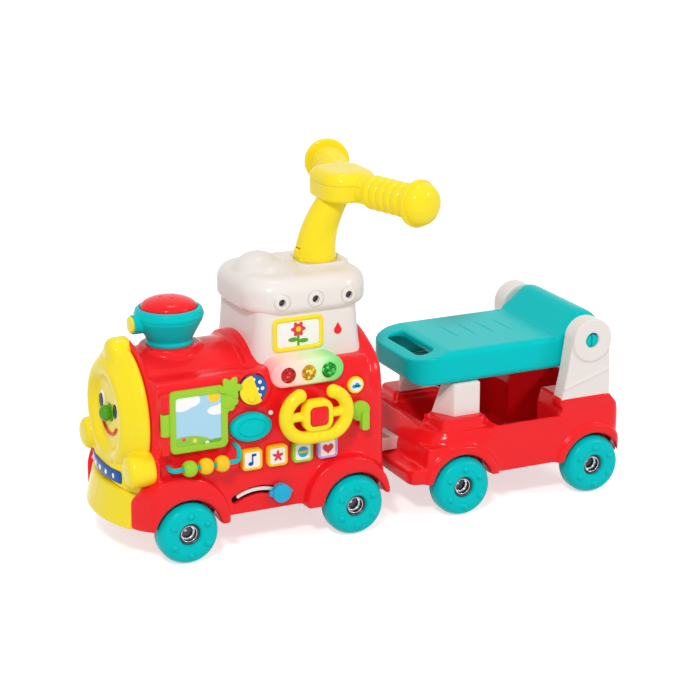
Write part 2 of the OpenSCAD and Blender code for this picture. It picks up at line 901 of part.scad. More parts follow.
module loco_base() {
  top = body_floor_z + base_t;
  tray_top = top + axle_block_w;
  color("red")
    difference() {
      union() {
        difference() {
          along_z(body_floor_z, top) body_plan(wall);
          for (s = sides, x = [loco_front_at, loco_rear_x])
            arch(s, x, arch_r + wall, well_in_y - wall, fender_y);
        }
        for (x = [loco_front_at, loco_rear_x])
          axle_block(x, wheel_in_y - fit, body_floor_z);
        tray_block(wall, body_floor_z, tray_top + wall);
        translate([pin_x, 0, body_floor_z])
          cylinder(r = body_rear_x - wall - fit - pin_x, h = drawbar_z - body_floor_z - fit);
      }
      tray_block(0, body_floor_z - over, tray_top);
      translate([pin_x, 0, body_floor_z + base_t]) cylinder(r = pin_r, h = reach);
    }
}

module battery_door() {
  color("red") tray_block(-fit / 2, body_floor_z, body_floor_z + base_t);
}

module batteries() {
  cell_r = tray_w() * cell_r_share;
  cell_l = tray_l() * cell_l_share;
  color("silver")
    for (k = [-1 : 1])
      translate([tray_x() - cell_l / 2, k * cell_step_share * cell_r, body_floor_z + base_t + cell_r])
        rotate([0, 90, 0]) cylinder(r = cell_r, h = cell_l);
}

module circuit_board() {
  color("green")
    along_y(board_y(), board_y() + wall / 2)
      translate([signal_at, steer_z]) square([board_l(), board_h()], center = true);
}

module speaker() {
  in_y = body_half_w - wall;
  color("dimgray") {
    translate([signal_at, in_y, speaker_z])
      rotate([90, 0, 0]) cylinder(r = 3 * lens_r_s, h = wall);
    translate([signal_at, in_y - wall, speaker_z])
      rotate([90, 0, 0]) cylinder(r1 = 5 * lens_r_s / 2, r2 = 3 * lens_r_s / 2, h = lens_r_s);
    translate([signal_at, in_y - wall - lens_r_s, speaker_z])
      rotate([90, 0, 0]) cylinder(r = 3 * lens_r_s / 2, h = lens_r_s);
  }
}

// Bumper band between the side drums, bent like the nose
module bumper_band() {
  intersection() {
    along_y(-drum_y, drum_y) {
      translate([flange_x - band_l, cow_top_z + band_r]) circle(band_r);
      translate([flange_x - band_l, cow_top_z]) square([band_l, 2 * band_r]);
    }
    translate([nose_x, 0, 0]) cylinder(r = band_plan_r, h = reach);
  }
}

// Bent plate on the band, between two radii about the middle of the nose
module plate_form(r0, r1) {
  intersection() {
    translate([nose_x, 0, cow_top_z + band_r - plate_h / 2])
      difference() {
        cylinder(r = r1, h = plate_h);
        translate([0, 0, -over]) cylinder(r = r0, h = plate_h + 2 * over);
      }
    translate([nose_x - reach, -plate_w / 2, 0]) cube([reach, plate_w, reach]);
  }
}

module face_mask() {
  color("gold")
    difference() {
      union() {
        translate([flange_x, 0, face_z])
          rotate([0, -90, 0]) {
            rotate_extrude()
              union() {
                polygon([
                  [0, 0],
                  [face_r, 0],
                  [face_r, wall],
                  [ring_r + ring_bead_r, face_drum_l],
                  [0, face_drum_l]
                ]);
                square([ring_r, face_floor_l]);
                translate([ring_r, face_drum_l]) circle(ring_bead_r);
              }
          }
        drums();
        translate([flange_x, 0, bump_z])
          rotate([0, -90, 0])
            rotate_extrude()
              domed_profile(lamp_bump_r, lamp_bump_r / 4);
        bumper_band();
      }
      // hollow of the drum
      front_rod(flange_x + over, 0, face_z, ring_r + wall, face_drum_l - wall + over);
      front_rod(flange_x + over, 0, face_z, ring_r - ring_bead_r - wall, face_floor_l - face_wall + over);
      // hole for the nose button
      front_rod(flange_x, 0, face_z, nose_r + fit, reach);
      // bed of the blue plate
      plate_form(band_plan_r - plate_t, nose_plan_r);
    }
}

module nose_button() {
  lip_r = ring_r - ring_bead_r - 2 * wall;
  back_x = face_floor_x + face_wall + fit;
  color("limegreen") {
    translate([face_floor_x - nose_r / 4, 0, face_z]) sphere(nose_r);
    front_rod(back_x, 0, face_z, nose_r, back_x - face_floor_x + nose_r / 4);
    front_rod(back_x + wall, 0, face_z, (nose_r + lip_r) / 2, wall);
  }
}

module name_plate() {
  color("royalblue") plate_form(band_plan_r - plate_t, band_plan_r + plate_t / 2);
}

module cowcatcher() {
  h = cow_top_z - cow_floor_z;
  color("gold")
    difference() {
      intersection() {
        translate([nose_x, 0, cow_floor_z])
          cylinder(r1 = nose_plan_r, r2 = nose_plan_r - cow_lean, h = h);
        translate([front_x - over, -cow_half_w, cow_floor_z])
          cube([flange_x - front_x + over, 2 * cow_half_w, h]);
      }
      translate([nose_x, 0, cow_floor_z - over])
        intersection() {
          cylinder(r = nose_plan_r - cow_lean - 2 * wall, h = h - wall + over);
          translate([-reach, wall - cow_half_w, 0]) cube([reach, 2 * (cow_half_w - wall), h]);
        }
    }
}

module chimney_funnel() {
  lamp_in = chimney_rim_r - 2 * wall;
  color("darkturquoise")
    difference() {
      union() {
        translate([chimney_at, 0, 0])
          rotate_extrude()
            union() {
              polygon([
                [0, foot_z],
                [chimney_foot_r, foot_z],
                [chimney_foot_r, body_top_z + 2 * wall],
                [chimney_rim_r, chimney_rim_z - 5 * wall],
                [chimney_rim_r, chimney_rim_z - wall],
                [chimney_rim_r - wall, chimney_rim_z],
                [0, chimney_rim_z]
              ]);
              translate([chimney_rim_r - wall, chimney_rim_z - 3 * wall]) circle(3 * wall / 2);
            }
        front_rod(chimney_at - lamp_in, 0, chimney_lamp_z, chimney_lamp_r, chimney_lamp_l - lamp_in);
      }
      body_form(0);
      translate([chimney_at, 0, bowl_z]) cylinder(r = dome_r + fit, h = reach);
      translate([chimney_at, 0, bowl_z - 8 * wall]) cylinder(r = dome_r / 4 + fit, h = reach);
      translate([chimney_at - chimney_lamp_l - over, 0, chimney_lamp_z])
        rotate([0, 90, 0]) cylinder(r = chimney_lamp_r - wall / 2, h = 2 * over);
    }
}

module chimney_lamp() {
  color("yellow")
    front_rod(chimney_at - chimney_lamp_l + over, 0, chimney_lamp_z, chimney_lamp_r - wall / 2, over + wall);
}

module chimney_dome() {
  foot = bowl_z + dome_travel + fit;
  color("red")
    translate([chimney_at, 0, 0]) {
      intersection() {
        translate([0, 0, dome_edge_z + dome_rise - dome_ball_r]) sphere(dome_ball_r);
        translate([0, 0, foot]) cylinder(r = dome_r, h = reach);
      }
      translate([0, 0, foot - 5 * wall]) cylinder(r = dome_r / 4, h = 6 * wall);
    }
}

// Outline of the tower, seen from above
module tower_plan(t) {
  translate([tower_at, 0]) round_rect(tower_l_s - 2 * t, 2 * (tower_half_w - t), tower_r - t);
}

module cab_tower() {
  bed_t = wall / 2;
  color("white")
    difference() {
      along_z(boiler_z, roof_z) tower_plan(0);
      along_z(boiler_z - over, roof_z + over) tower_plan(wall);
      body_form(0);
      along_y(-tower_half_w - over, bed_t - tower_half_w)
        translate([plaque_at, plaque_z]) round_rect(plaque_l_s, plaque_h, plaque_h / 6);
      drop_form(-tower_half_w - over, bed_t - tower_half_w);
    }
}

// Drop-shaped lens beside the plaque
module drop_form(y0, y1) {
  r = wall * drop_share;
  along_y(y0, y1)
    translate([plaque_at + plaque_l_s / 2 + 4 * r, plaque_z - r / 2]) {
      circle(r);
      polygon([[-r * cos(30), r * sin(30)], [r * cos(30), r * sin(30)], [0, 2 * r]]);
    }
}

module drop_lens() {
  color("red") drop_form(-tower_half_w - wall / 2, wall / 2 - tower_half_w);
}

module picture_plaque() {
  color("yellow")
    along_y(-tower_half_w - wall / 2, wall / 2 - tower_half_w)
      translate([plaque_at, plaque_z]) round_rect(plaque_l_s, plaque_h, plaque_h / 6);
}

module cab_roof() {
  color("white")
    difference() {
      union() {
        translate([roof_at, 0, roof_z])
          intersection() {
            along_z(0, roof_h) round_rect(roof_l_s, 2 * roof_half_w, roof_plan_r);
            along_y(-roof_half_w, roof_half_w) roof_outline(roof_l_s);
            along_x(-roof_l_s / 2, roof_l_s / 2) roof_outline(2 * roof_half_w);
          }
        intersection() {
          translate([hump_at, 0, roof_top_z - wall * 3]) sphere(hump_r);
          translate([-reach, -reach, roof_z + roof_h / 2]) cube([reach, 2 * reach, reach]);
        }
        translate([stem_at, 0, roof_top_z - wall])
          cylinder(r = stem_foot_r + 2 * wall, h = 2 * wall);
      }
      along_z(roof_z - over, roof_top_z - 2 * wall)
        translate([roof_at, 0])
          round_rect(roof_l_s - 2 * roof_edge_r, 2 * (roof_half_w - roof_edge_r), roof_edge_r);
      translate([stem_at, 0, roof_z]) cylinder(r = stem_foot_r, h = reach);
      for (s = sides, k = [-1 : 1])
        translate([roof_at + k * screw_step_s, s * roof_half_w, roof_z + roof_h * screw_z_share])
          rotate([90, 0, 0]) {
            cylinder(r = well_r, h = wall, center = true);
            cylinder(r = screw_r, h = 6 * wall, center = true);
          }
    }
}

module roof_screws() {
  screw_y = roof_half_w - 7 * wall / 4;
  color("dimgray")
    for (s = sides, k = [-1 : 1])
      translate([roof_at + k * screw_step_s, s * screw_y, roof_z + roof_h * screw_z_share])
        rotate([90, 0, 0]) cylinder(r = screw_r, h = 5 * wall / 2, center = true);
}

module signal_panel() {
  color("lavender")
    difference() {
      along_y(panel_y - 2 * wall, -tower_half_w)
        translate([signal_at, signal_z])
          round_rect(signal_l_s, signal_h, signal_h * capsule_share);
      body_form(0);
      along_z(boiler_z - over, roof_z) tower_plan(0);
      for (k = [-1 : 1])
        panel_disc(signal_at + k * lens_step_s, signal_z, lens_r_s, panel_y - 3 * wall, panel_y - wall);
    }
}

module signal_lenses() {
  color("orange")
    for (k = [-1 : 1])
      panel_disc(signal_at + k * lens_step_s, signal_z, lens_r_s, panel_y - 5 * wall / 2, panel_y - wall);
}

// Middle of the stem at share u of its height
function stem_at(u) = [stem_at + stem_lean * u * u, 0, stem_joint_z + u * (stem_top_z - stem_joint_z)];
function stem_r(u) = stem_foot_r + u * (stem_top_r - stem_foot_r);

module handle_stem() {
  latch_z = stem_joint_z + 3 * wall;
  color("gold")
    difference() {
      union() {
        translate([stem_at, 0, roof_z + roof_h / 2])
          cylinder(r = stem_foot_r, h = roof_h / 2 + wall);
        for (k = [0 : stem_sections - 1])
          hull()
            for (u = [k / stem_sections, (k + 1) / stem_sections])
              translate(stem_at(u))
                rotate([0, stem_tilt * u, 0]) cylinder(r = stem_r(u), h = wall / 20, $fn = 40);
      }
      head_form();
      translate([stem_at - stem_foot_r - over, -2 * wall - fit, latch_z - 2 * wall - fit])
        cube([4 * wall + over + fit, 4 * wall + 2 * fit, 4 * wall + 2 * fit]);
    }
}

module stem_latch() {
  latch_z = stem_joint_z + 3 * wall;
  color("gold")
    translate([stem_at - stem_foot_r, -2 * wall, latch_z - 2 * wall])
      cube([3 * wall, 4 * wall, 4 * wall]);
}

module head_form() {
  translate([head_x, 0, grip_z]) {
    soft_block(head_l, 2 * head_half_w, head_h, head_l * head_plan_share, head_h * head_edge_share);
    for (s = sides)
      rotate([-90, 0, s < 0 ? 180 + grip_sweep : -grip_sweep])
        cylinder(r = grip_r + wall / 2, h = grip_start);
  }
}

module handle_head() {
  color("gold") head_form();
}

// One grip along its own axis: ribs, end flange and domed end
module grip_profile() {
  ribs = 5;
  pitch = grip_l / (ribs + 1);
  square([grip_r, grip_l + wall]);
  for (k = [1 : ribs])
    translate([grip_r - wall, k * pitch]) circle(3 * wall / 2);
  translate([0, grip_l]) square([grip_flange_r, 2 * wall]);
  intersection() {
    translate([0, grip_l + 2 * wall - grip_flange_r * grip_sink_share])
      circle(grip_flange_r * grip_dome_share);
    translate([0, grip_l + 2 * wall]) square([grip_flange_r, grip_flange_r]);
  }
}

module handle_grips() {
  color("yellow")
    for (s = sides)
      translate([head_x, 0, grip_z])
        rotate([-90, 0, s < 0 ? 180 + grip_sweep : -grip_sweep])
          translate([0, 0, grip_start])
            rotate_extrude()
              grip_profile();
}

// Leaf-shaped tab at the door's free corner
module leaf_outline() {
  s = door_rim;
  r = s * leaf_share;
  translate([door_left_x + door_w_s - s / 2, door_z + door_h * leaf_z_share]) {
    round_rect(2 * s, 5 * s / 2, s / 2);
    translate([s, s / 2]) circle(r);
    translate([s, -3 * s / 2]) circle(r);
    translate([0, -2 * s]) circle(r);
  }
}

module door_leaf() {
  low = door_z - knuckle_h / 2;
  stub = knuckle_h / 4;
  color("yellowgreen") {
    difference() {
      union() {
        along_y(door_y, door_y + door_t) {
          translate([door_left_x + door_w_s / 2, door_z]) round_rect(door_w_s, door_h, door_rim);
          leaf_outline();
        }
        translate([hinge_at, hinge_y, low]) cylinder(r = barrel_r, h = knuckle_h);
        translate([hinge_at, door_y, low]) cube([door_rim, door_t, knuckle_h]);
      }
      along_y(door_y - over, door_y + door_t / 3)
        translate([door_left_x + door_w_s / 2, door_z])
          round_rect(door_w_s - 2 * door_rim, door_h - 2 * door_rim, door_rim / 2);
    }
    translate([hinge_at, hinge_y, low - stub]) cylinder(r = hinge_pin_r, h = knuckle_h + 2 * stub);
  }
}

module door_picture() {
  color("lightblue")
    along_y(door_y + door_t / 6, door_y + door_t / 3)
      translate([door_left_x + door_w_s / 2, door_z])
        round_rect(door_w_s - 2 * door_rim, door_h - 2 * door_rim, door_rim / 2);
}

// Straight stretch of the bead rod
function rod_left_x() = bead_at - bead_step_s - bead_l_s;
function rod_right_x() = bead_at + bead_step_s + bead_l_s;

// Quarter bend of the rod, from +X to +Y about its own middle
module rod_elbow() {
  rotate_extrude(angle = 90)
    translate([rod_bend_r, 0]) circle(rod_r);
}

module bead_rod() {
  lead = rod_y + panel_y - rod_bend_r;
  left = rod_left_x();
  right = rod_right_x();
  high_z = rod_z + 2 * rod_bend_r;
  color("darkturquoise") {
    translate([left, -rod_y, rod_z]) rotate([0, 90, 0]) cylinder(r = rod_r, h = right - left);
    // left end, straight into the panel
    translate([left, rod_bend_r - rod_y, rod_z]) rotate([0, 0, 180]) rod_elbow();
    translate([left - rod_bend_r, rod_bend_r - rod_y, rod_z])
      rotate([-90, 0, 0]) cylinder(r = rod_r, h = lead);
    // right end, up and then into the panel
    translate([right, -rod_y, rod_z + rod_bend_r]) rotate([0, 90, 0]) rotate([90, 0, 0]) rod_elbow();
    translate([right + rod_bend_r, -rod_y, rod_z + rod_bend_r]) cylinder(r = rod_r, h = rod_bend_r);
    translate([right + rod_bend_r, rod_bend_r - rod_y, high_z]) rotate([90, 0, -90]) rod_elbow();
    translate([right + rod_bend_r, rod_bend_r - rod_y, high_z + rod_bend_r])
      rotate([-90, 0, 0]) cylinder(r = rod_r, h = lead);
  }
}

module bead(x) {
  translate([x, -rod_y, rod_z])
    rotate([0, 90, 0])
      difference() {
        intersection() {
          sphere(bead_r);
          cylinder(r = bead_r, h = bead_l_s, center = true);
        }
        cylinder(r = rod_r + fit, h = 2 * bead_l_s, center = true);
      }
}
module bead_front() { color("yellowgreen") bead(bead_at - bead_step_s); }
module bead_middle() { color("orange") bead(bead_at); }
module bead_rear() { color("orange") bead(bead_at + bead_step_s); }

module dial_back() {
  color("royalblue")
    difference() {
      panel_disc(dial_at, dial_z, dial_r_s, panel_y - wall, panel_y);
      panel_disc(dial_at, dial_z, dial_r_s / 4 + play, panel_y - 2 * wall, panel_y + wall);
    }
}

module dial_flap() {
  y1 = panel_y - wall - fit;
  color("yellow") {
    intersection() {
      panel_disc(dial_at, dial_z, dial_r_s, y1 - wall, y1);
      along_y(y1 - wall, y1)
        translate([dial_at, dial_z])
          rotate(flap_turn)
            translate([-dial_r_s, -dial_r_s]) square([dial_r_s * flap_share, 2 * dial_r_s]);
    }
    panel_disc(dial_at - dial_r_s / 5, dial_z - dial_r_s / 2, dial_r_s / 4, y1 - 2 * wall, y1 - wall);
    panel_disc(dial_at, dial_z, dial_r_s / 4, y1 - wall, panel_in_y + wall);
  }
}

module indicator_lens() {
  x = oval_at + oval_a_s * lamp_x_share;
  z = oval_z + oval_b * lamp_z_share;
  color("white") panel_disc(x, z, wall, panel_y - wall, panel_y);
}

// A panel button with a lip behind the panel
module push_button(rise) {
  along_y(panel_y - rise, flange_gap_y) children(0);
  along_y(flange_gap_y, flange_gap_y + wall / 2) children(1);
}

module oval_button() {
  color("darkturquoise")
    translate([oval_at, 0, oval_z])
      push_button(oval_rise_share * button_rise) {
        oval(oval_a_s, oval_b);
        oval(oval_a_s + flange_lip, oval_b + flange_lip);
      }
}

module round_button() {
  color("gold")
    translate([round_x, 0, round_z])
      push_button(round_rise_share * button_rise) {
        circle(round_r);
        circle(round_r + flange_lip);
      }
}

module square_button(i) {
  translate([square_at + i * square_step_s, 0, square_z])
    push_button(button_rise) {
      round_rect(square_w_s, square_w_s, square_w_s / 5);
      round_rect(square_w_s + flange_lip, square_w_s + flange_lip, square_w_s / 5);
    }
}
module square_button_1() { color("orange") square_button(0); }
module square_button_2() { color("orange") square_button(1); }
module square_button_3() { color("yellowgreen") square_button(2); }
module square_button_4() { color("plum") square_button(3); }

// Half of the steering wheel's rim
module rim_half() {
  translate([-steer_half_gap_s, 0, 0])
    rotate([0, 0, rim_start]) {
      rotate_extrude(angle = rim_angle)
        translate([steer_bend_r_s, 0]) circle(steer_tube_r);
      translate([steer_bend_r_s, 0, 0]) sphere(steer_tube_r * joint_share);
    }
}

function horn_w() = 5 * steer_tube_r / 2 + wall;
function steer_hub_r() = horn_w() * hub_share;

module steering_wheel() {
  spoke_r = steer_tube_r * spoke_share;
  spoke_l = steer_half_gap_s + steer_bend_r_s;
  hub_y = -steer_y - steer_tube_r;
  back_y = panel_y - fit;
  color("gold")
    difference() {
      union() {
        translate([steer_at, -steer_y, steer_z])
          rotate([90, 0, 0]) {
            rim_half();
            mirror([1, 0, 0]) rim_half();
            translate([0, -steer_bend_r_s, 0])
              rotate([0, 90, 0])
                cylinder(r = steer_tube_r, h = 2 * steer_half_gap_s, center = true);
            rotate([0, 90, 0]) cylinder(r = spoke_r, h = 2 * spoke_l, center = true);
            rotate([90, 0, 0]) cylinder(r = spoke_r, h = steer_bend_r_s);
          }
        panel_disc(steer_at, steer_z, steer_hub_r(), hub_y, steer_tube_r - steer_y);
        panel_disc(steer_at, steer_z, 4 * steer_tube_r / 3, -steer_y, back_y);
        panel_disc(steer_at, steer_z, steer_tube_r, -steer_y, panel_in_y + 2 * wall);
      }
      along_y(hub_y - over, hub_y + 3 * steer_tube_r / 2)
        translate([steer_at, steer_z])
          round_rect(horn_w() + 2 * fit, horn_w() + 2 * fit, horn_w() / 4);
    }
}

module horn_button() {
  hub_y = -steer_y - steer_tube_r;
  color("red")
    along_y(hub_y - wall, hub_y + 3 * steer_tube_r / 2 - button_travel)
      translate([steer_at, steer_z]) round_rect(horn_w(), horn_w(), horn_w() / 4);
}

module shift_lever() {
  y1 = panel_y - fit;
  color("yellowgreen") {
    panel_disc(lever_x, lever_z, lever_r, y1 - 2 * wall, y1);
    along_y(y1 - 4 * wall, y1 - wall)
      translate([lever_x + lever_r / 3, lever_z - lever_l / 2])
        round_rect(lever_r * lever_share, lever_l, lever_r / 4);
    panel_disc(lever_x, lever_z, lever_r / 2, y1 - wall, panel_in_y + wall);
  }
}

module slider_knob() {
  x = slide_at + slide_r_s * sin(slide_half_angle);
  z = slide_pivot_z + slide_r_s * cos(slide_half_angle);
  y1 = panel_y - fit;
  color("deepskyblue") {
    panel_disc(x, z, knob_r, y1 - 3 * wall, y1);
    panel_disc(x, z, knob_neck_r, y1, flange_gap_y);
    panel_disc(x, z, 2 * knob_neck_r, flange_gap_y, flange_gap_y + wall / 2);
  }
}

// One wheel on its own axis, outer face towards +Z
module wheel_form() {
  r = wheel_r - shoulder_r;
  difference() {
    union() {
      rotate_extrude()
        union() {
          square([r, wheel_w]);
          translate([0, shoulder_r]) square([wheel_r, wheel_w - 2 * shoulder_r]);
          for (y = [shoulder_r, wheel_w - shoulder_r])
            translate([r, y]) circle(shoulder_r);
        }
      for (a = [0 : 60 : 300])
        rotate(a)
          translate([wheel_r * bump_share, 0, wheel_w - bump_r / 2]) sphere(bump_r);
    }
    translate([0, 0, -over]) cylinder(r = axle_r + play, h = wheel_w + 2 * over);
    translate([0, 0, wheel_w - hub_well_depth]) cylinder(r = hub_well_r, h = reach);
  }
}

module wheel(x, side, in_y) {
  color("darkturquoise")
    translate([x, side * in_y, axle_z])
      rotate([side < 0 ? 90 : -90, 0, 0]) wheel_form();
}
module loco_wheel_front_near() { wheel(loco_front_at, -1, wheel_in_y); }
module loco_wheel_front_far() { wheel(loco_front_at, 1, wheel_in_y); }
module loco_wheel_rear_near() { wheel(loco_rear_x, -1, wheel_in_y); }
module loco_wheel_rear_far() { wheel(loco_rear_x, 1, wheel_in_y); }
module wagon_wheel_front_near() { wheel(wagon_front_x, -1, wagon_in_y); }
module wagon_wheel_front_far() { wheel(wagon_front_x, 1, wagon_in_y); }
module wagon_wheel_rear_near() { wheel(wagon_rear_x, -1, wagon_in_y); }
module wagon_wheel_rear_far() { wheel(wagon_rear_x, 1, wagon_in_y); }

// Steel axle with a pressed cap on each end
module axle(x, face_y) {
  cap_in_y = face_y - hub_well_depth + fit;
  translate([x, 0, axle_z])
    rotate([90, 0, 0]) {
      cylinder(r = axle_r, h = 2 * cap_in_y, center = true);
      for (s = sides)
        mirror([0, 0, s < 0 ? 1 : 0])
          translate([0, 0, cap_in_y])
            difference() {
              cylinder(r = cap_r, h = cap_l);
              translate([0, 0, wall / 2]) cylinder(r = cap_r - wall / 2, h = cap_l);
            }
    }
}
module loco_axles() {
  color("silver") for (x = [loco_front_at, loco_rear_x]) axle(x, wheel_face_y);
}
module wagon_axles() {
  color("silver") for (x = [wagon_front_x, wagon_rear_x]) axle(x, wagon_face_y);
}

// The wagon seen from the side
module wagon_side() {
  lean = wall * 2;
  polygon([
    [skirt_x, body_floor_z],
    [skirt_x, skirt_z],
    [tub_front_x, skirt_z + wall],
    [tub_front_x + lean, front_deck_z - lean],
    [tub_front_x + 2 * lean, front_deck_z],
    [rim_front_x - lean, front_deck_z],
    [rim_front_x, rim_z],
    [rim_rear_x, rim_z],
    [rim_rear_x + lean, rear_deck_z],
    [wagon_end_x - 3 * lean, rear_deck_z],
    [wagon_end_x - lean, rim_z + lean],
    [wagon_end_x - lean / 4, rim_z - lean],
    [wagon_end_x, body_floor_z]
  ]);
}

// The wagon seen from above
module wagon_plan(front_x, front_r, half_w) {
  r = wagon_corner_r;
  translate([front_x + front_r, -half_w]) square([wagon_end_x - r - front_x - front_r, 2 * half_w]);
  translate([front_x, front_r - half_w]) square([front_r, 2 * (half_w - front_r)]);
  translate([wagon_end_x - 2 * r, r - half_w]) square([2 * r, 2 * (half_w - r)]);
  for (s = sides) {
    translate([front_x + front_r, s * (half_w - front_r)]) circle(front_r);
    translate([wagon_end_x - r, s * (half_w - r)]) circle(r);
  }
}

// Solid of the wagon body
module wagon_form() {
  intersection() {
    along_y(-wagon_half_w, wagon_half_w) wagon_side();
    union() {
      along_z(body_floor_z, wagon_brow_z) wagon_plan(skirt_x, wagon_corner_r, wagon_half_w);
      along_z(body_floor_z, rear_deck_z) wagon_plan(brow_x, wagon_brow_r, wagon_half_w);
    }
  }
}

module wagon_tub() {
  hollow_side_w = wagon_well_y - seat_half_w / 2 - 3 * wall;
  color("red")
    difference() {
      union() {
        wagon_form();
        for (s = sides, x = [wagon_front_x, wagon_rear_x])
          intersection() {
            arch(s, x, arch_r + 4 * wall, wagon_half_w - wall, wagon_fender_y);
            along_z(body_floor_z, wagon_brow_z) wagon_plan(skirt_x, wagon_corner_r, wagon_fender_y);
          }
        for (x = [wagon_front_x, wagon_rear_x])
          axle_block(x, wagon_in_y - fit, body_floor_z);
      }
      // storage space between the wheels, and its narrower ends between the posts
      along_z(tub_floor_z, reach)
        translate([(rim_front_x + rim_rear_x) / 2, 0])
          square([rim_rear_x - rim_front_x, 2 * (wagon_half_w - 2 * wall)], center = true);
      along_z(tub_floor_z, reach)
        translate([(tub_front_x + wagon_end_x) / 2, 0])
          square([wagon_end_x - tub_front_x - 16 * wall, seat_half_w], center = true);
      for (s = sides, x = [wagon_front_x, wagon_rear_x])
        arch(s, x, arch_r, wagon_well_y, wagon_fender_y + over);
      // hollows under the decks, open below
      for (x = [wagon_front_x, wagon_rear_x], s = sides)
        translate([x, s * (seat_half_w / 2 + wall + wagon_well_y - wall) / 2, 0])
          along_z(body_floor_z - over, front_deck_z - wall)
            difference() {
              square([arch_r * 3 / 2, hollow_side_w], center = true);
              square([axle_block_w, reach], center = true);
            }
    }
}

module drawbar() {
  bed_l = tub_front_x - pin_x - drawbar_half_w - 3 * wall;
  color("white")
    difference() {
      union() {
        translate([pin_x, 0, drawbar_z]) cylinder(r = drawbar_half_w, h = drawbar_h);
        translate([pin_x, -drawbar_half_w, drawbar_z])
          cube([tub_front_x + 2 * wall - pin_x, 2 * drawbar_half_w, drawbar_h]);
      }
      wagon_form();
      translate([pin_x, 0, 0]) cylinder(r = pin_r + play, h = reach);
      translate([pin_x + drawbar_half_w, wall - drawbar_half_w, drawbar_z + wall])
        cube([bed_l, 2 * (drawbar_half_w - wall), drawbar_h]);
    }
}

module coupling_pin() {
  top = drawbar_z + drawbar_h;
  color("silver") {
    translate([pin_x, 0, body_floor_z + base_t])
      cylinder(r = pin_r, h = top + fit - body_floor_z - base_t);
    translate([pin_x, 0, top + fit]) cylinder(r = 2 * pin_r, h = wall);
  }
}

module front_posts() {
  lean = 2 * wall;
  front = brow_x + 3 * lean;
  rear = rim_front_x - 2 * lean;
  in_y = seat_half_w / 2 + 2 * wall;
  color("white")
    for (s = sides)
      mirror([0, s > 0 ? 1 : 0, 0])
        intersection() {
          along_y(-seat_half_w, -in_y)
            polygon([
              [front, front_deck_z],
              [rear, front_deck_z],
              [rear, seat_z - fit],
              [front + 3 * lean, seat_z - fit]
            ]);
          along_z(front_deck_z, seat_z)
            polygon([
              [front, -in_y],
              [front + 3 * lean, -seat_half_w],
              [rear, -seat_half_w],
              [rear, -in_y]
            ]);
        }
}

module rear_posts() {
  color("white")
    for (s = sides)
      mirror([0, s > 0 ? 1 : 0, 0])
        difference() {
          union() {
            along_y(-wagon_half_w, -post_in_y)
              polygon([
                [pivot_x - boss_r - rim_lead / 4, rear_deck_z],
                [pivot_x + boss_r, rear_deck_z],
                [pivot_x + boss_r, pivot_z],
                [pivot_x - boss_r, pivot_z]
              ]);
            along_y(-wagon_half_w - wall, -post_in_y)
              translate([pivot_x, pivot_z]) circle(boss_r);
          }
          along_y(-reach, reach) translate([pivot_x, pivot_z]) circle(stub_r + play);
        }
}

// The rolled backrest seen from the side, sloping at its front
module roll_outline() {
  difference() {
    translate([pivot_x, pivot_z]) circle(roll_r);
    polygon([
      [pivot_x - roll_r, seat_top_z],
      [pivot_x, pivot_z + roll_r + over],
      [pivot_x - 2 * roll_r, pivot_z + roll_r + over],
      [pivot_x - 2 * roll_r, seat_top_z]
    ]);
  }
}

module seat() {
  back_x = pivot_x - roll_r / 3;
  roll_in_r = roll_r * roll_hollow_share;
  hollow_l = pivot_x - roll_r - seat_front_x - 2 * seat_rim;
  l = back_x - seat_front_x + seat_corner_r;
  h = seat_top_z - seat_z;
  color("darkturquoise")
    difference() {
      union() {
        intersection() {
          translate([seat_front_x + l / 2, 0, seat_z + h / 2])
            soft_block(l, 2 * seat_half_w, h, seat_corner_r, seat_edge_r);
          translate([-reach, -reach, 0]) cube([reach + back_x, 2 * reach, reach]);
        }
        along_y(-seat_half_w, seat_half_w) roll_outline();
        along_y(-wagon_half_w, wagon_half_w) translate([pivot_x, pivot_z]) circle(stub_r);
      }
      // hollow below
      along_z(seat_z - over, seat_top_z - seat_drop)
        translate([(seat_front_x + pivot_x - roll_r) / 2, 0])
          round_rect(hollow_l, 2 * (seat_half_w - seat_rim), seat_corner_r - seat_rim);
      along_y(seat_rim - seat_half_w, seat_half_w - seat_rim) {
        translate([pivot_x, pivot_z]) circle(roll_in_r);
        translate([pivot_x - roll_in_r, seat_z - over])
          square([2 * roll_in_r, pivot_z - seat_z + over]);
      }
      // slope towards the front edge
      along_y(-reach, reach)
        polygon([
          [seat_front_x - over, seat_top_z - seat_drop],
          [seat_front_x + seat_slope_l, seat_top_z],
          [seat_front_x + seat_slope_l, seat_top_z + over],
          [seat_front_x - over, seat_top_z + over]
        ]);
      // hand slot
      along_z(seat_z, reach)
        translate([seat_front_x + slot_x_share * seat_rim, 0])
          round_rect(2 * seat_rim, slot_l_share * seat_half_w, seat_rim * slot_r_share);
      // split in the stub ends
      for (s = sides)
        translate([pivot_x - wall / 4, s * wagon_half_w - stub_r, pivot_z - 2 * stub_r])
          cube([wall / 2, 2 * stub_r, 4 * stub_r]);
    }
}

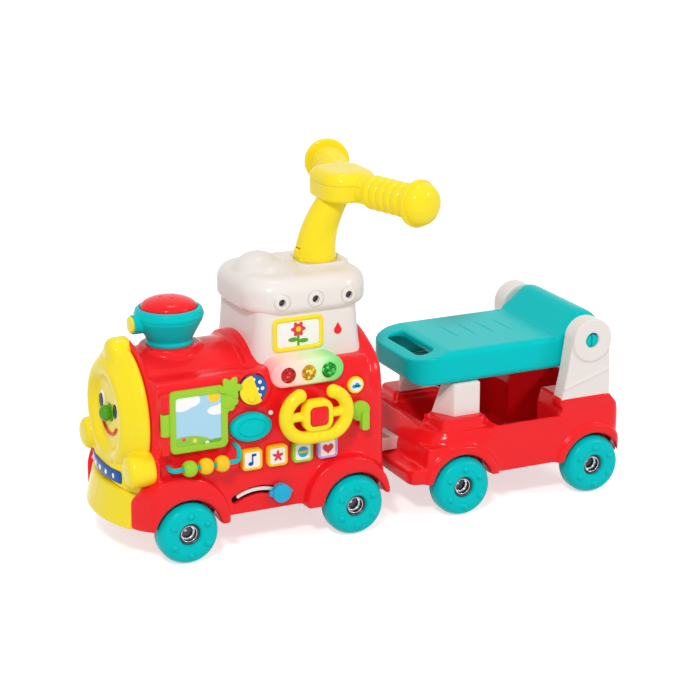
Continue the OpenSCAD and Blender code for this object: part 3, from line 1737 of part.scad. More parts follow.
loco_shell_near();
loco_shell_far();
loco_base();
face_mask();
cowcatcher();
name_plate();
chimney_funnel();
chimney_lamp();
cab_tower();
cab_roof();
roof_screws();
picture_plaque();
drop_lens();
signal_panel();
signal_lenses();
handle_stem();
handle_head();
handle_grips();
bead_rod();
dial_back();
indicator_lens();
circuit_board();
speaker();
battery_door();
batteries();
loco_axles();
coupling_pin();
chimney_dome();
stem_latch();
door_leaf();
door_picture();
bead_front();
bead_middle();
bead_rear();
dial_flap();
oval_button();
round_button();
square_button_1();
square_button_2();
square_button_3();
square_button_4();
steering_wheel();
horn_button();
shift_lever();
slider_knob();
nose_button();
loco_wheel_front_near();
loco_wheel_front_far();
loco_wheel_rear_near();
loco_wheel_rear_far();
wagon_tub();
drawbar();
front_posts();
rear_posts();
seat();
wagon_axles();
wagon_wheel_front_near();
wagon_wheel_front_far();
wagon_wheel_rear_near();
wagon_wheel_rear_far();
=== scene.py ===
"""A ride-on train with a tow wagon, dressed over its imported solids.

Front of the train at -X, play side at -Y, up +Z. Shapes are worked out in millimetres and put
into the meshes in metres.
"""
import json
import math
from functools import partial

import bmesh
import bpy
import numpy as np
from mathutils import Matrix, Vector


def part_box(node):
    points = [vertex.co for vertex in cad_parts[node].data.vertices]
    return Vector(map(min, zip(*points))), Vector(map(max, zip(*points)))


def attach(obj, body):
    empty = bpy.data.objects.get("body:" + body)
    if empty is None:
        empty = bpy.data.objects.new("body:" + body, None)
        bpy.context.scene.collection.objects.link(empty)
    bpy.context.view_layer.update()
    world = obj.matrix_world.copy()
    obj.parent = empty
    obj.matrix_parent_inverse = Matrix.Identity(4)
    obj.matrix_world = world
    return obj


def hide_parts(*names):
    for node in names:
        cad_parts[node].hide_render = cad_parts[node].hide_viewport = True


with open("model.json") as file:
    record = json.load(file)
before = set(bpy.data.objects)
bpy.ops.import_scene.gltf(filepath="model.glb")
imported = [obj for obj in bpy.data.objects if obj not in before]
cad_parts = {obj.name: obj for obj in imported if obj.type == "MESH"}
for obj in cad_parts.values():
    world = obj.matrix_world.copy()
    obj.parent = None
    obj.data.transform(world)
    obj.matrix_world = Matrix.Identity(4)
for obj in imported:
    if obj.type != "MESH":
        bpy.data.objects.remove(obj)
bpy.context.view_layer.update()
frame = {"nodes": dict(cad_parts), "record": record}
RECORD = frame["record"]
BODY = {node: body for body, nodes in RECORD["behaviour"]["bodies"].items() for node in nodes}
SLOT = {part["node"]: part["material_slot"] for part in RECORD["subparts"]}
MM = 0.001
X, Y, Z = np.eye(3)
SIDES = ((-1, "near"), (1, "far"))
ENGINE = "locomotive"
scene = bpy.context.scene
scene.view_settings.view_transform = "Standard"


# Colours and finishes

def linear(r, g, b):
    """An sRGB colour from 0 to 255 as the linear colour that a shader takes."""
    c = np.array([r, g, b]) / 255.0
    low = c / 12.92
    high = ((c + 0.055) / 1.055) ** 2.4
    return tuple(np.where(c <= 0.04045, low, high)) + (1.0,)


def group(name, inputs, outputs):
    """An empty shader node group with named sockets, with what it is given and what it puts out. An
    input of four numbers is a colour, of three a direction; an output named Color is a colour."""
    kinds = {4: "NodeSocketColor", 3: "NodeSocketVector", 1: "NodeSocketFloat"}
    tree = bpy.data.node_groups.new(name, "ShaderNodeTree")
    for socket, value in inputs.items():
        made = tree.interface.new_socket(name=socket, in_out="INPUT", socket_type=kinds[np.size(value)])
        made.default_value = value
    for socket in outputs:
        tree.interface.new_socket(name=socket, in_out="OUTPUT",
                                  socket_type=kinds[4 if socket == "Color" else 1])
    return tree, tree.nodes.new("NodeGroupInput").outputs, tree.nodes.new("NodeGroupOutput").inputs


def supply(tree, node, inputs):
    """Links or sets inputs of a node, by name or number: each is given a socket or a value."""
    for key, value in inputs.items():
        if isinstance(value, bpy.types.NodeSocket):
            tree.links.new(value, node.inputs[key])
        else:
            node.inputs[key].default_value = value


def add(tree, kind, inputs, **settings):
    """A new node with its settings and inputs."""
    n = tree.nodes.new(kind)
    for key, value in settings.items():
        setattr(n, key, value)
    supply(tree, n, inputs)
    return n


def put_group(tree, made, **inputs):
    """The outputs of a node group placed in a tree."""
    return add(tree, "ShaderNodeGroup", inputs, node_tree=made).outputs


def object_place(tree):
    """The place of a shaded point in its object's own frame, in metres."""
    return tree.nodes.new("ShaderNodeTexCoord").outputs["Object"]


def object_axes(tree):
    """The same place as separate X, Y and Z outputs."""
    return add(tree, "ShaderNodeSeparateXYZ", {0: object_place(tree)}).outputs


def noise(tree, vector, scale, detail, rough=0.5):
    """A noise texture read at a vector."""
    inputs = {"Vector": vector, "Scale": scale, "Detail": detail, "Roughness": rough}
    return add(tree, "ShaderNodeTexNoise", inputs).outputs["Fac"]


def math_node(tree, operation, a, b=0.5, clamp=False):
    """One Math node on two sockets or numbers."""
    return add(tree, "ShaderNodeMath", {0: a, 1: b}, operation=operation, use_clamp=clamp).outputs[0]


def mixed(tree, mask, a, b):
    """A colour between a and b by a mask, each a socket or a colour."""
    first_colour, second_colour, colour_out = 6, 7, 2
    inputs = {"Factor": mask, first_colour: a, second_colour: b}
    return add(tree, "ShaderNodeMix", inputs, data_type="RGBA").outputs[colour_out]


def darker(colour, share=0.45):
    """A share of a linear colour, with full alpha."""
    return tuple(share * c for c in colour[:3]) + (1.0,)


def moulded_skin_group():
    """Moulded plastic skin: a slow mottle lightens and darkens the colour, a finer noise varies the
    gloss, rare fine scuffs lift the roughness, and an orange peel gives the height."""
    first = {"Color": (0.8, 0.8, 0.8, 1), "Mottle": 0.06, "Gloss": 0.25, "Peel": 0.4}
    tree, given, out = group("moulded_skin", first, ("Color", "Roughness", "Height"))
    calc, place = partial(math_node, tree), object_place(tree)
    slow = calc("SUBTRACT", noise(tree, place, 9.0, 3.0), 0.5)
    value = calc("ADD", calc("MULTIPLY", slow, given["Mottle"]), 1.0)
    tint = add(tree, "ShaderNodeHueSaturation", {"Color": given["Color"], "Value": value})
    tree.links.new(tint.outputs["Color"], out["Color"])
    patch = calc("SUBTRACT", noise(tree, place, 42.0, 4.0, 0.6), 0.5)
    scuff = calc("GREATER_THAN", noise(tree, place, 260.0, 6.0, 0.75), 0.7)
    rough = calc("ADD", calc("MULTIPLY", patch, 0.12), given["Gloss"])
    tree.links.new(calc("ADD", rough, calc("MULTIPLY", scuff, 0.06), True), out["Roughness"])
    peel = calc("MULTIPLY", noise(tree, place, 420.0, 2.0), given["Peel"])
    swell = calc("MULTIPLY", noise(tree, place, 55.0, 1.0), 0.6)
    tree.links.new(calc("ADD", peel, swell), out["Height"])
    return tree


def parting_line_group():
    """A fine line where two moulds meet: one where a point's reach along a direction is within a
    width of an offset, and zero elsewhere."""
    first = {"Direction": (0, 0, 1), "Offset": 0.0, "Width": 0.0004}
    tree, given, out = group("parting_line", first, ("Mask",))
    calc = partial(math_node, tree)
    dot = add(tree, "ShaderNodeVectorMath", {0: object_place(tree), 1: given["Direction"]},
              operation="DOT_PRODUCT")
    away = calc("ABSOLUTE", calc("SUBTRACT", dot.outputs["Value"], given["Offset"]))
    tree.links.new(calc("SUBTRACT", 1.0, calc("DIVIDE", away, given["Width"]), True), out["Mask"])
    return tree


def disc_mask_group():
    """A soft-edged oval seen along Y: one where a point's distance from the centre in X and Z, each
    over its half size, is under one, and zero outside."""
    first = {"Centre X": 0.0, "Centre Z": 0.0, "Half X": 0.01, "Half Z": 0.01}
    tree, given, out = group("disc_mask", first, ("Mask",))
    calc, place = partial(math_node, tree), object_axes(tree)
    parts = []
    for axis in ("X", "Z"):
        away = calc("SUBTRACT", place[axis], given["Centre " + axis])
        share = calc("DIVIDE", away, given["Half " + axis])
        parts.append(calc("MULTIPLY", share, share))
    edge = calc("MULTIPLY", calc("SUBTRACT", 1.0, calc("SQRT", calc("ADD", *parts))), 30.0)
    tree.links.new(calc("ADD", edge, 0.5, True), out["Mask"])
    return tree


SKIN = moulded_skin_group()
LINE = parting_line_group()
DISC = disc_mask_group()
MOTTLE, PEEL, RELIEF = 0.05, 0.35, 0.06


def finish_nodes(name):
    """A new material with its Principled shader, a Bump node on its Normal, and its tree."""
    made = bpy.data.materials.new(name)
    made.use_nodes = True
    tree = made.node_tree
    shader = tree.nodes["Principled BSDF"]
    bump = add(tree, "ShaderNodeBump", {"Distance": 0.0004})
    tree.links.new(bump.outputs["Normal"], shader.inputs["Normal"])
    return made, tree, shader, bump


def plastic(name, rgb, gloss=0.15, coat=0.04, metal=0.0, line=None, paint=None, glow=0.0, shine=0.2):
    """Moulded plastic in one colour through the shared skin group. Line is a parting line, given as
    a direction and an offset in metres, and paint draws a picture into the colour."""
    made, tree, shader, bump = finish_nodes(name)
    plain = colour = linear(*rgb)
    if paint:
        colour = paint(tree, colour)
    if line:
        mask = put_group(tree, LINE, Direction=line[0], Offset=line[1])["Mask"]
        colour = mixed(tree, mask, colour, darker(plain))
    skin = put_group(tree, SKIN, Color=colour, Mottle=MOTTLE, Gloss=gloss, Peel=PEEL)
    supply(tree, bump, {"Height": skin["Height"], "Strength": RELIEF})
    supply(tree, shader, {"Base Color": skin["Color"], "Roughness": skin["Roughness"],
                          "Coat Weight": coat, "Coat Roughness": 0.1, "IOR": 1.45,
                          "Specular IOR Level": shine, "Metallic": metal})
    # glow is painted light: the surface gives off its own colour though it is no lamp
    if glow:
        supply(tree, shader, {"Emission Color": skin["Color"], "Emission Strength": glow})
    made.diffuse_color = plain
    return made


def discs(*spots):
    """A painter that lays soft ovals over a colour: each spot is a colour, its middle in X and Z
    and its half sizes, in millimetres."""
    def paint(tree, colour):
        for rgb, x, z, a, b in spots:
            oval = {"Centre X": x * MM, "Centre Z": z * MM, "Half X": a * MM, "Half Z": b * MM}
            colour = mixed(tree, put_group(tree, DISC, **oval)["Mask"], colour, linear(*rgb))
        return colour
    return paint


def glass_painted_glints(tree, colour):
    """A painter for pressed glass: cells of a Voronoi pattern, each lighter or darker as painted light
    and shade on the facets, with the brightest cells as painted glints.
    """
    cells = add(tree, "ShaderNodeTexVoronoi", {"Scale": 320.0, "Vector": object_place(tree)})
    split = add(tree, "ShaderNodeSeparateColor", {"Color": cells.outputs["Color"]})
    glint_colour = tuple(min(1.0, 0.06 + 2.2 * c) for c in colour[:3]) + (1.0,)
    shade = mixed(tree, split.outputs["Red"], darker(colour), colour)
    # painted glints: a few cells turned bright
    painted_glint = math_node(tree, "GREATER_THAN", split.outputs["Green"], 0.78)
    return mixed(tree, painted_glint, shade, glint_colour)


def glow_along(stops):
    """A painter whose colour runs along X through stops of place in millimetres and colour, in
    place of the colour that it is given."""
    def paint(tree, colour):
        low, high = stops[0][0] * MM, stops[-1][0] * MM
        along = math_node(tree, "SUBTRACT", object_axes(tree)["X"], low)
        band = tree.nodes.new("ShaderNodeValToRGB")
        band.color_ramp.interpolation = "EASE"
        given = band.color_ramp.elements
        for k, (x, rgb) in enumerate(stops):
            at = (x * MM - low) / (high - low)
            stop = given[k] if k < 2 else given.new(at)
            stop.position = at
            stop.color = linear(*rgb)
        tree.links.new(math_node(tree, "DIVIDE", along, high - low, True), band.inputs["Fac"])
        return band.outputs["Color"]
    return paint


# Where the controls stand on the play panel, in X and Z
PANEL_Y = -94.0
OVAL_AT, ROUND_AT, DIAL_AT = (-178, 161), (-35.5, 194), (-174, 208)
STEER_AT, KNOB_AT, SLOT_AT = (-97, 170), (-138.9, 69.2), (-167, 14)
SQUARES_AT = [(x, 118.5) for x in (-177, -143, -109, -75)]
LAMPS_AT = [(x, 220.5) for x in (-128, -101, -74)]
PLAQUE_X = -101

RED, YELLOW, WHITE, PALE = (248, 28, 35), (255, 231, 36), (255, 255, 255), (250, 250, 246)
SKY = discs((WHITE, -268, 203, 15, 9), (WHITE, -256, 206, 12, 8), (WHITE, -222, 190, 13, 6),
            (WHITE, -214, 193, 9, 6), ((255, 214, 60), -226, 208, 8, 8),
            ((150, 205, 70), -262, 128, 46, 34), ((110, 180, 60), -222, 124, 42, 30),
            ((240, 90, 90), -266, 158, 2.6, 2.6), ((255, 230, 80), -252, 155, 2.6, 2.6),
            (WHITE, -236, 150, 2.6, 2.6))
DIAL_DOTS = discs(*[(PALE, DIAL_AT[0] + 12.5 * math.cos(k), DIAL_AT[1] + 12.5 * math.sin(k), 2.4, 2.4)
                    for k in np.linspace(-1.5, 1.5, 5)], (PALE, -168, DIAL_AT[1], 2.0, 2.0))
# painted glow on the clear signal capsule: pink by the red lens, pale green by the green lens
SIGNAL_PAINTED_GLOW = glow_along([(-150, (250, 176, 176)), (-118, (250, 222, 206)), (-90, (214, 240, 190)),
                          (-60, (120, 222, 120))])
MIDDLE_SEAM = ((0, 1, 0), 0.0)
HEAD_SEAM = ((0, 0, 1), 0.4333)
STEEL = {"coat": 0.0, "metal": 1.0}
LOOKS = (
    ({}, {"red_plastic": RED, "yellow_plastic": YELLOW, "lime_plastic": (160, 214, 50),
          "green_plastic": (84, 164, 32), "orange_plastic": (254, 204, 28),
          "lilac_plastic": (200, 170, 226), "blue_plastic": (20, 84, 168),
          "cyan_plastic": (24, 178, 222), "cell_jacket": (60, 62, 66)}),
    ({"line": MIDDLE_SEAM}, {"red_body": RED, "yellow_scoop": YELLOW}),
    ({"line": HEAD_SEAM}, {"yellow_head": YELLOW}),
    ({"gloss": 0.22, "coat": 0.0, "shine": 0.08}, {"teal_plastic": (0, 200, 202)}),
    ({"gloss": 0.22}, {"white_plastic": (240, 232, 227)}),
    ({"gloss": 0.3}, {"black_print": (26, 24, 34), "pale_print": (250, 248, 244),
                      "coral_print": (226, 62, 66)}),
    ({"gloss": 0.4}, {"board_laminate": (24, 92, 46)}),
    ({"gloss": 0.5}, {"speaker_black": (26, 26, 28)}),
    # near-black sheet painted as the shade down in the slider slot
    ({"gloss": 0.7, "coat": 0.0}, {"slot_painted_shade": (34, 8, 12)}),
    ({"paint": DIAL_DOTS}, {"dial_print": (24, 100, 178)}),
    ({"gloss": 0.35, "paint": SKY}, {"printed_card": (176, 220, 244)}),
    # the clear capsule gets a faint painted glow in these colours, though it is no lamp
    ({"gloss": 0.16, "glow": 0.12, "paint": SIGNAL_PAINTED_GLOW}, {"clear_lens": (244, 226, 222)}),
    # the lens colours carry painted facet light and shade and painted glints
    ({"gloss": 0.08, "coat": 0.2, "paint": glass_painted_glints},
     {"red_lens": (206, 4, 14), "amber_lens": (230, 164, 0), "green_lens": (4, 156, 34)}),
    ({"gloss": 0.22, **STEEL}, {"axle_steel": (196, 198, 202)}),
    # darker steel painted as the shade inside the hub wells
    ({"gloss": 0.4, **STEEL}, {"hub_painted_shade": (84, 86, 92)}),
    ({"gloss": 0.35, **STEEL}, {"screw_steel": (70, 70, 76)}),
)
FINISH = {name: plastic(name, rgb, **more) for more, colours in LOOKS for name, rgb in colours.items()}


# Surfaces as arrays

def weave(P, closed_rows=False):
    """Points and four-sided faces of a grid of points whose columns close round."""
    rows, cols = P.shape[:2]
    i = np.arange(rows if closed_rows else rows - 1)[:, None]
    j = np.arange(cols)[None, :]
    here, there = i * cols, (i + 1) % rows * cols
    k = (j + 1) % cols
    faces = np.stack([here + j, here + k, there + k, there + j], -1)
    return P.reshape(-1, 3), faces.reshape(-1, 4)


def capped(P):
    """A grid with one row more at each end, drawn to the middle of that end, so it closes."""
    ends = np.repeat(P[[0, -1]].mean(1, keepdims=True), P.shape[1], 1)
    return np.concatenate([ends[:1], P, ends[1:]])


def turns(count):
    """Angles at equal steps once round."""
    return np.linspace(0, 2 * np.pi, count, endpoint=False)


def turned(profile, centre, along, across, sides=96, closed=False):
    """A profile of radius and height turned round an axis: the point at angle t is the centre plus
    the height along the axis plus the radius times cos t across and sin t beside it. With closed,
    the profile is a loop, which makes a ring."""
    profile = np.asarray(profile, float)
    t = turns(sides)[:, None]
    ring = np.cos(t) * across + np.sin(t) * np.cross(along, across)
    P = (np.asarray(centre, float) + profile[:, 1, None, None] * along
         + profile[:, 0, None, None] * ring)
    return weave(P, closed)


def rod(radius, low, high, centre, along, across, sides=96):
    """A straight rod between two heights on an axis, for bores and for bosses to be fused."""
    return turned([(0, low), (radius, low), (radius, high), (0, high)], centre, along, across, sides)


def softened(points, radii, steps=7, closed=False):
    """A polyline whose corners become arcs: each corner gives way to the arc that touches both of
    its sides, swept by the angle between the two radii."""
    P = np.asarray(points, float)
    n = len(P)
    radii = np.broadcast_to(np.asarray(radii, float), n)
    t = np.linspace(0, 1, steps)[:, None]
    out = []
    for k in range(n):
        if radii[k] <= 0 or (not closed and k in (0, n - 1)):
            out.append(P[k:k + 1])
            continue
        a, b = P[k - 1] - P[k], P[(k + 1) % n] - P[k]
        la, lb = np.linalg.norm(a), np.linalg.norm(b)
        a, b = a / la, b / lb
        half = math.acos(np.clip(a @ b, -0.9999, 0.9999)) / 2
        cut = min(radii[k] / math.tan(half), 0.49 * la, 0.49 * lb)
        r = cut * math.tan(half)
        middle = P[k] + (a + b) / np.linalg.norm(a + b) * r / math.sin(half)
        s, e = P[k] + a * cut - middle, P[k] + b * cut - middle
        w = math.acos(np.clip(s @ e / (r * r), -0.9999, 0.9999))
        out.append(middle + (np.sin((1 - t) * w) * s + np.sin(t * w) * e) / math.sin(w))
    return np.concatenate(out)


def spaced(path, count, closed=True):
    """Points at equal steps of length along a path."""
    Q = np.concatenate([path, path[:1]]) if closed else np.asarray(path, float)
    s = np.r_[0, np.cumsum(np.linalg.norm(np.diff(Q, axis=0), axis=1))]
    t = np.linspace(0, s[-1], count, endpoint=not closed)
    return np.stack([np.interp(t, s, Q[:, k]) for k in range(Q.shape[1])], 1)


def rectangle(w, h, r, count=160):
    """Outline of a rectangle with round corners about the origin, counter-clockwise."""
    corners = [(-w / 2, -h / 2), (w / 2, -h / 2), (w / 2, h / 2), (-w / 2, h / 2)]
    return spaced(softened(corners, r, 12, True), count)


def ellipse(a, b, count=120):
    """Outline of an ellipse about the origin, counter-clockwise."""
    t = turns(count)
    return np.stack([a * np.cos(t), b * np.sin(t)], 1)


def petals(r, depth, lobes, count=240):
    """Outline whose radius swells and shrinks round the origin: r times one plus depth times the
    cosine of the lobes times the angle."""
    t = turns(count)
    reach = r * (1 + depth * np.cos(lobes * t))
    return np.stack([reach * np.cos(t), reach * np.sin(t)], 1)


def stacked(outline, rows, place, u, v, w):
    """Copies of an outline, woven and closed. Each row gives how far the outline is drawn in along
    its normals, how far it is lifted along w, and a scale about its middle."""
    O = np.asarray(outline, float)
    d = np.roll(O, -1, 0) - np.roll(O, 1, 0)
    N = np.stack([d[:, 1], -d[:, 0]], 1) / np.linalg.norm(d, axis=1)[:, None]
    rows = np.array([tuple(r) + (1.0,) * (3 - len(r)) for r in rows], float)
    middle = O.mean(0)
    Q = middle + (O - rows[:, 0, None, None] * N - middle) * rows[:, 2, None, None]
    P = (np.asarray(place, float) + Q[..., 0, None] * u + Q[..., 1, None] * v
         + rows[:, 1, None, None] * w)
    return weave(capped(P))


def edge_rows(h0, h1, r0, r1, crown=0.0, steps=6):
    """Rows for a slab from height h0 to h1 whose lower edge is rounded by r0 and upper edge by r1,
    with its upper face swelling by a crown towards the middle."""
    a = np.linspace(0, np.pi / 2, steps)
    low = [(r0 * (1 - np.sin(k)), h0 + r0 * (1 - np.cos(k))) for k in a] if r0 else [(0, h0)]
    high = [(r1 * (1 - np.cos(k)), h1 - r1 * (1 - np.sin(k))) for k in a] if r1 else [(0, h1)]
    swell = [(r1, h1 + crown * (1 - s * s), s) for s in (0.9, 0.75, 0.5, 0.25)] if crown else []
    return low + high + swell


def piped(path, radius, up, sides):
    """A round section carried along a path with half-ball ends. The section stands on the path's
    tangent, with its axes from that tangent and a fixed direction."""
    path = np.asarray(path, float)
    r = np.broadcast_to(np.asarray(radius, float), len(path))
    T = np.gradient(path, axis=0)
    T /= np.linalg.norm(T, axis=1)[:, None]
    a = np.linspace(np.pi / 2, 0, 7)[:-1]
    start = path[0] - T[0] * (r[0] * np.sin(a))[:, None]
    stop = path[-1] + T[-1] * (r[-1] * np.sin(a[::-1]))[:, None]
    centre = np.concatenate([start, path, stop])
    size = np.concatenate([r[0] * np.cos(a) + 1e-6, r, r[-1] * np.cos(a[::-1]) + 1e-6])
    T = np.concatenate([np.repeat(T[:1], 6, 0), T, np.repeat(T[-1:], 6, 0)])
    A = np.cross(T, up)
    A /= np.linalg.norm(A, axis=1)[:, None]
    B = np.cross(A, T)
    t = turns(sides)[None, :, None]
    P = centre[:, None] + size[:, None, None] * (np.cos(t) * A[:, None] + np.sin(t) * B[:, None])
    return weave(capped(P))


def straight(start, stop, count):
    """Points at equal steps between two points."""
    return np.linspace(np.asarray(start, float), np.asarray(stop, float), count)


def ball(centre, radii, rows=24, sides=48):
    """An ellipsoid: its half sizes times the sines and cosines of two angles."""
    a = np.linspace(-np.pi / 2, np.pi / 2, rows)[:, None, None]
    t = turns(sides)[None, :, None]
    P = np.cos(a) * np.cos(t) * X + np.cos(a) * np.sin(t) * Y + np.sin(a) * Z
    return weave(np.asarray(centre, float) + P * np.asarray(radii, float))


def hoop(centre, along, across, loop, sides=120):
    """A closed loop of radius and height carried round an axis."""
    return turned(loop, centre, along, across, sides, True)


def oval_loop(r, w, h, count=24):
    """A loop for a hoop: an oval about a radius, of half width w and half height h."""
    a = turns(count)
    return np.stack([r + w * np.cos(a), h * np.sin(a)], 1)


def slab(w, d, r, rows, x, y):
    """A level slab: a rectangle with round corners, of width w in X and d in Y, through its rows."""
    return stacked(rectangle(w, d, r), rows, (x, y, 0), X, Y, Z)


def block(low, high):
    """A box between two corners, with its faces as one grid closed at both ends."""
    low, high = np.asarray(low, float), np.asarray(high, float)
    w, d, h = high - low
    rows = [(0, -h / 2), (0, h / 2)]
    return stacked(rectangle(w, d, 0.01, 40), rows, (low + high) / 2, X, Y, Z)


# Making pieces


def dress(made, body, nodes, finish):
    """Gives a piece its finish and the body that carries it, and hides the nodes that it stands for."""
    made.data.materials.clear()
    made.data.materials.append(FINISH[finish])
    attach(made, body)
    if nodes:
        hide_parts(*nodes)
    return made


def placed(name, data):
    """A new object in the scene."""
    made = bpy.data.objects.new(name, data)
    scene.collection.objects.link(made)
    return made


def smoothed(data, crease=40.0):
    """Smooth shading that keeps the edges sharper than crease, in degrees."""
    data.polygons.foreach_set("use_smooth", np.ones(len(data.polygons), bool))
    data.set_sharp_from_angle(angle=math.radians(crease))


def mesh_of(name, bm):
    """A new mesh from a bmesh, which is freed."""
    data = bpy.data.meshes.new(name)
    bm.to_mesh(data)
    bm.free()
    return data


def from_bmesh(name, bm):
    """Puts a bmesh into a new object with smooth shading."""
    data = mesh_of(name, bm)
    smoothed(data)
    return placed(name, data)


def joined(shells):
    """A bmesh of several closed surfaces, with seams and poles merged and faces turned outwards."""
    counts = np.cumsum([0] + [len(v) for v, f in shells])
    points = np.concatenate([v for v, f in shells]) * MM
    faces = np.concatenate([f + k for (v, f), k in zip(shells, counts)])
    data = bpy.data.meshes.new("joined")
    data.from_pydata(points.tolist(), [], faces.tolist())
    bm = bmesh.new()
    bm.from_mesh(data)
    bpy.data.meshes.remove(data)
    bmesh.ops.remove_doubles(bm, verts=bm.verts, dist=1e-6)
    bmesh.ops.dissolve_degenerate(bm, edges=bm.edges, dist=1e-7)
    bmesh.ops.recalc_face_normals(bm, faces=bm.faces)
    return bm


def piece(name, shells, body, nodes, finish):
    """A piece from closed surfaces."""
    return dress(from_bmesh(name, joined(shells)), body, nodes, finish)


def moulded(node, width, steps, finish=None):
    """A moulded piece from a node's solid: its merged faces with every sharp edge rounded."""
    bm = bmesh.new()
    bm.from_mesh(frame["nodes"][node].data)
    bmesh.ops.remove_doubles(bm, verts=bm.verts, dist=2e-5)
    bmesh.ops.dissolve_limit(bm, angle_limit=math.radians(1.0), verts=bm.verts, edges=bm.edges)
    sharp = [e for e in bm.edges
             if len(e.link_faces) == 2 and e.calc_face_angle(0.0) > math.radians(30.0)]
    if sharp:
        bmesh.ops.bevel(bm, geom=sharp, offset=width * MM, offset_type="OFFSET", segments=steps,
                        profile=0.5, affect="EDGES", clamp_overlap=True)
    return dress(from_bmesh("moulded_" + node, bm), BODY[node], [node], finish or SLOT[node])


def applied(made):
    """Replaces an object's mesh by what its modifiers make of it."""
    view = bpy.context.evaluated_depsgraph_get()
    view.update()
    data = bpy.data.meshes.new_from_object(made.evaluated_get(view))
    old = made.data
    made.modifiers.clear()
    made.data = data
    bpy.data.meshes.remove(old)


def ramp(value, low, high):
    """Zero below low, one above high and straight between; high may be the lesser."""
    return np.clip((value - low) / (high - low), 0, 1)


def eased(data, steps, where=None):
    """Draws each point of a mesh halfway to the mean of its neighbours, a number of times, which
    rounds edges and fills inner corners while flat faces stay. Where, if given, weighs each point by
    its place in millimetres."""
    n = len(data.vertices)
    co = np.empty(n * 3)
    data.vertices.foreach_get("co", co)
    co = co.reshape(-1, 3)
    e = np.empty(len(data.edges) * 2, int)
    data.edges.foreach_get("vertices", e)
    a, b = e.reshape(-1, 2).T
    degree = np.maximum(np.bincount(a, minlength=n) + np.bincount(b, minlength=n), 1)[:, None]
    share = 0.5 * where(co / MM)[:, None] if where else 0.5
    for k in range(steps):
        mean = np.stack([np.bincount(a, co[b, c], n) + np.bincount(b, co[a, c], n)
                         for c in range(3)], 1) / degree
        co = co + share * (mean - co)
    data.vertices.foreach_set("co", co.ravel())
    data.update()


def carved(made, cuts):
    """Takes closed surfaces out of a piece's mesh."""
    if not cuts:
        return made
    tool = from_bmesh("cutter", joined(cuts))
    cut = made.modifiers.new("cut", "BOOLEAN")
    cut.operation = "DIFFERENCE"
    cut.solver = "MANIFOLD"
    cut.object = tool
    applied(made)
    bpy.data.objects.remove(tool)
    return made


def fused(name, nodes, shells, voxel, steps, cuts=(), crease=40.0, finish=None, soft=(), copied=True,
          trim=()):
    """One moulding from the solids of some nodes and some closed surfaces: they are joined on a fine
    grid of cells, eased so that edges and inner corners become round, more so in soft regions, and
    then cut. Trim is taken from the solids first; with copied off they are only stood for.
    The body, and the finish if none is given, are the first node's."""
    bm = bmesh.new()
    for node in nodes if copied else ():
        bm.from_mesh(frame["nodes"][node].data)
    bmesh.ops.remove_doubles(bm, verts=bm.verts, dist=1e-5)
    if trim:
        base = carved(from_bmesh("trimmed", bm), trim)
        bm = bmesh.new()
        bm.from_mesh(base.data)
        bpy.data.objects.remove(base)
    if shells:
        data = mesh_of("shells", joined(shells))
        bm.from_mesh(data)
        bpy.data.meshes.remove(data)
    made = from_bmesh(name, bm)
    grid = made.modifiers.new("cells", "REMESH")
    grid.mode = "VOXEL"
    grid.voxel_size = voxel * MM
    applied(made)
    eased(made.data, steps)
    for where, more in soft:
        eased(made.data, more, where)
    carved(made, cuts)
    smoothed(made.data, crease)
    return dress(made, BODY[nodes[0]], nodes, finish or SLOT[nodes[0]])


# Engine body

LOCO_AXLES, WAGON_AXLES, AXLE_Z = (-265.0, -41.0), (112.0, 305.0), 39.0
ROUND_EDGE = 0.2


def on_panel(at):
    """The point of the play panel at a place in X and Z."""
    return (at[0], PANEL_Y, at[1])


def facing_panel(outline, rows, x, z, y=PANEL_Y):
    """A stacked form on the play panel: its outline in X and Z, its heights out of the panel."""
    return stacked(outline, rows, (x, y, z), X, Z, -Y)


def printed(name, outline, rows, at, body, finish, y=PANEL_Y):
    """A low raised form on the play panel or on a control, as a piece of its own."""
    piece(name, [facing_panel(outline, rows, *at, y)], body, (), finish)


def arches(places):
    """The round openings over the wheels of some axles, on both sides."""
    return [rod(43.0, 0, 50, (x, y, AXLE_Z), Y, X, 72) for x in places for y in (-130, 80)]


def boiler_fill(x0, x1, centre_z, r):
    """The inside of the boiler: a half round over straight walls, carried along X."""
    t = np.linspace(0, np.pi, 60)
    top = np.stack([r * np.cos(t), centre_z + r * np.sin(t)], 1)
    outline = np.concatenate([top, [(-r, 50.0), (r, 50.0)]])
    return stacked(outline, [(0, x0), (0, x1)], (0, 0, 0), Y, Z, X)


def slider_slot(half_w, spread):
    """The outline of the curved slot: two arcs about a low centre, joined by round ends."""
    t = np.linspace(90 + spread, 90 - spread, 40) * np.pi / 180
    n = np.stack([np.cos(t), np.sin(t)], 1)
    path = 62 * n
    a = np.linspace(0, np.pi, 12)[1:-1]

    def end(k, turn):
        side = np.array([n[k, 1], -n[k, 0]]) * turn
        return path[k] + half_w * (np.cos(a)[:, None] * n[k] * turn + np.sin(a)[:, None] * side)

    loop = np.concatenate([path + half_w * n, end(-1, 1), (path - half_w * n)[::-1], end(0, -1)])
    return loop[::-1]


def lip(at, r, half_w, h):
    """A raised round lip on the play panel."""
    return hoop(on_panel(at), -Y, X, oval_loop(r, half_w, h))


